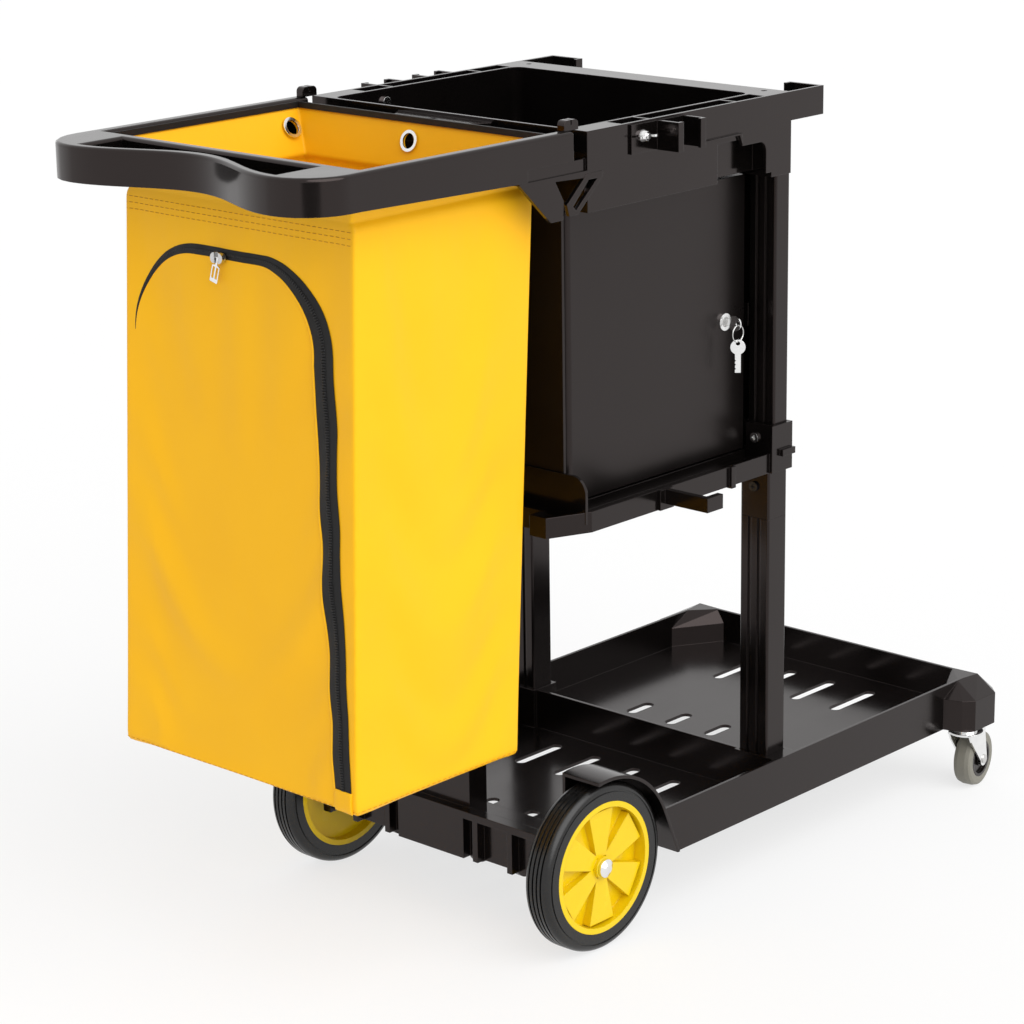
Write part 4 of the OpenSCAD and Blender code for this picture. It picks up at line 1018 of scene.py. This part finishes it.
# %% Stitch rows
stitch_pitch = 0.0085
stitch_share = 0.62
stitch_half = 0.00045
foot_row = 0.007
stitch_rows = (bag_low.z + foot_row, 0.880, 0.887, 0.894)
for number, height in enumerate(stitch_rows):
    level = bag_level(height)
    row_path = round_path("row_path_%d" % number, level, corner_round)
    stitch = block(
        "bag_stitches_%d" % number,
        (0, -stitch_half, -stitch_half),
        (stitch_pitch * stitch_share, stitch_half, stitch_half),
    )
    edit(stitch)
    bpy.ops.mesh.select_all(action="SELECT")
    bpy.ops.mesh.bevel(offset=stitch_half / 2, segments=1, affect="EDGES")
    leave()
    run_along(stitch, row_path, Matrix.Translation((0, 0, height)), 1 / stitch_share)
    if number > 0:
        keep_rear(stitch, level[0].x + corner_round)
    lay_on_cloth(stitch)
    fit(stitch, "cart", yellow_thread)
    print("Row", number, "has", len(stitch.data.polygons), "faces")

# %% [markdown]
# ## Eyelets
# Five metal eyelets stand round the bag's mouth. The rings come with the frame; here each one gets its hole,
# punched through the cloth by a Boolean with a short pin. A ring's largest face gives the pin's direction.

# %% Give the shell its thickness
apply(bag, "SOLIDIFY", thickness=fabric, offset=-1)
smooth(bag, 60)
print("The shell has", len(bag.data.polygons), "faces")

# %% Punch the eyelets
hole_radius = 0.0098
pin_length = 0.02
ring_reach = 0.016
rings = []
for face in sorted(nodes["bag_eyelets"].data.polygons, key=lambda f: -f.area):
    if all((face.center - spot).length > 2 * ring_reach for spot, _ in rings):
        rings.append((face.center.copy(), face.normal.copy()))
points = [v.co for v in nodes["bag_eyelets"].data.vertices]
for spot, axis in rings:
    near = [p for p in points if (p - spot).length < 2 * ring_reach]
    centre = sum(near, Vector()) / len(near)
    bpy.ops.object.select_all(action="DESELECT")
    bpy.ops.mesh.primitive_cylinder_add(
        vertices=40, radius=hole_radius, depth=pin_length, location=centre
    )
    pin = bpy.context.object
    pin.rotation_mode = "QUATERNION"
    pin.rotation_quaternion = axis.to_track_quat("Z", "Y")
    settle(pin)
    apply(bag, "BOOLEAN", operation="DIFFERENCE", object=pin, solver="EXACT")
    bpy.data.objects.remove(pin)
print("Holes punched:", len(rings))

# %% Hand the bag over
smooth(bag, 60)
fit(bag, "cart", yellow_vinyl)
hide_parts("bag")
girth = 2 * (spread(neck).x + spread(neck).y)

# %% [markdown]
# ## Studio
# The cart stands on a white floor in even, soft light, with a broad key from its door side, which makes that
# side of the bag the brighter one. The floor is diffuse white that keeps the soft shadows; as on a lit table,
# the camera, gloss and glass see it lifted towards white. A disc of the floor behind the camera is a painted
# dark reflection: gloss alone sees it dark, where a studio would be dark. The world shows full
# white to the camera, gloss and glass too, and gives a lower, plain level of light.

# %% Floor
floor_size = 80
lift = 0.72
# Painted dark reflection: a soft disc of the floor round this spot that glossy rays alone see darkened.
painted_reflection_spot = (-4.6, -4.45, 0)
painted_reflection_reach = 2.0
painted_reflection_soft = 0.4
painted_reflection_depth = 0.88


def seen_by_gloss(shading):
    """One for glossy and transmission rays, else zero."""
    ray = shading.node("ShaderNodeLightPath", output="Is Glossy Ray")
    return ray.math("MAXIMUM", ray, ray.other("Is Transmission Ray"))


def seen_directly(shading):
    """One for camera, glossy and transmission rays, else zero."""
    ray = shading.node("ShaderNodeLightPath", output="Is Camera Ray")
    return ray.math("MAXIMUM", ray, seen_by_gloss(shading))


paper = Finish("white_paper", Specular_IOR_Level=0.1)
paper_tone = paper.noise(0.5, 2)
paper.colour(paper_tone, (0.90, 0.90, 0.90), (0.92, 0.92, 0.92))
paper.rough(0.9 + paper_tone.swing(0.1))
# How far a floor point lies from the painted dark reflection's centre, and how much it darkens gloss there.
from_painted_reflection = paper.node(
    "ShaderNodeVectorMath", {"operation": "DISTANCE"}, {0: paper.place, 1: painted_reflection_spot}, "Value"
)
painted_reflection_share = (1 - from_painted_reflection.above(painted_reflection_reach, painted_reflection_soft)) * seen_by_gloss(paper)
glow_level = 1 - painted_reflection_share * painted_reflection_depth
glow = paper.node("ShaderNodeEmission", {}, {"Color": (1, 1, 1, 1), "Strength": glow_level})
matt = Wire(paper, paper.shader.outputs[0])
share = seen_directly(paper) * lift + painted_reflection_share * (1 - lift)
lifted = paper.node("ShaderNodeMixShader", {}, {0: share, 1: matt, 2: glow})
paper.feed(paper.tree.nodes["Material Output"].inputs["Surface"], lifted)
bpy.ops.object.select_all(action="DESELECT")
bpy.ops.mesh.primitive_plane_add(size=floor_size)
floor = bpy.context.object
floor.name = "floor"
floor.data.materials.append(paper.material)
print("Floor of", floor.dimensions.x, "m")

# %% World and key light
ambient = 0.66
key_strength = 2.4
key_spread = radians(70)
key_from = Vector((-0.35, -2.5, 1.9))
world = bpy.data.worlds.new("studio")
bpy.context.scene.world = world
sky = Shading(world)
backdrop = sky.tree.nodes["Background"]
backdrop.inputs["Color"].default_value = (1, 1, 1, 1)
sky.feed(backdrop.inputs["Strength"], seen_directly(sky) * (1 - ambient) + ambient)
sun = bpy.data.lights.new("key", "SUN")
sun.energy = key_strength
sun.angle = key_spread
key = add("key", sun)
key.location = key_from
key.rotation_mode = "QUATERNION"
key.rotation_quaternion = key_from.to_track_quat("Z", "Y")
print("World of", ambient, "and a", key.name, "light")

# %% [markdown]
# ## Camera
# The camera's place and turn were worked out from the lines of the photograph that meet far away: it stands
# 3.6 m off, half a metre above the handle, and looks down at the cart with a long lens.

# %% Camera
camera_spot = Vector((-2.7069, -2.4347, 1.5098))
yaw, pitch, roll = radians(42.693), radians(16.182), radians(0.8585)
frame_pixels = 1024
focal_pixels = 3121
film = 36

ahead = Vector((cos(pitch) * cos(yaw), cos(pitch) * sin(yaw), -sin(pitch)))
level_right = ahead.cross(Vector((0, 0, 1))).normalized()
level_down = ahead.cross(level_right)
view_right = cos(roll) * level_right + sin(roll) * level_down
view_down = cos(roll) * level_down - sin(roll) * level_right
lens = bpy.data.cameras.new("camera")
lens.sensor_width = film
lens.lens = film * focal_pixels / frame_pixels
camera = add("camera", lens)
turned = Matrix((view_right, -view_down, -ahead)).transposed().to_4x4()
camera.matrix_world = Matrix.Translation(camera_spot) @ turned
bpy.context.scene.camera = camera
bpy.context.scene.view_settings.view_transform = "Standard"
print("Lens of", round(lens.lens, 1), "mm")

# %% [markdown]
# ## Clearing up
# The curves that the zip and the stitch rows were swept along are removed.

# %% Clear the paths and finish
for path in [o for o in bpy.data.objects if o.type == "CURVE"]:
    bpy.data.objects.remove(path)
bpy.context.view_layer.update()
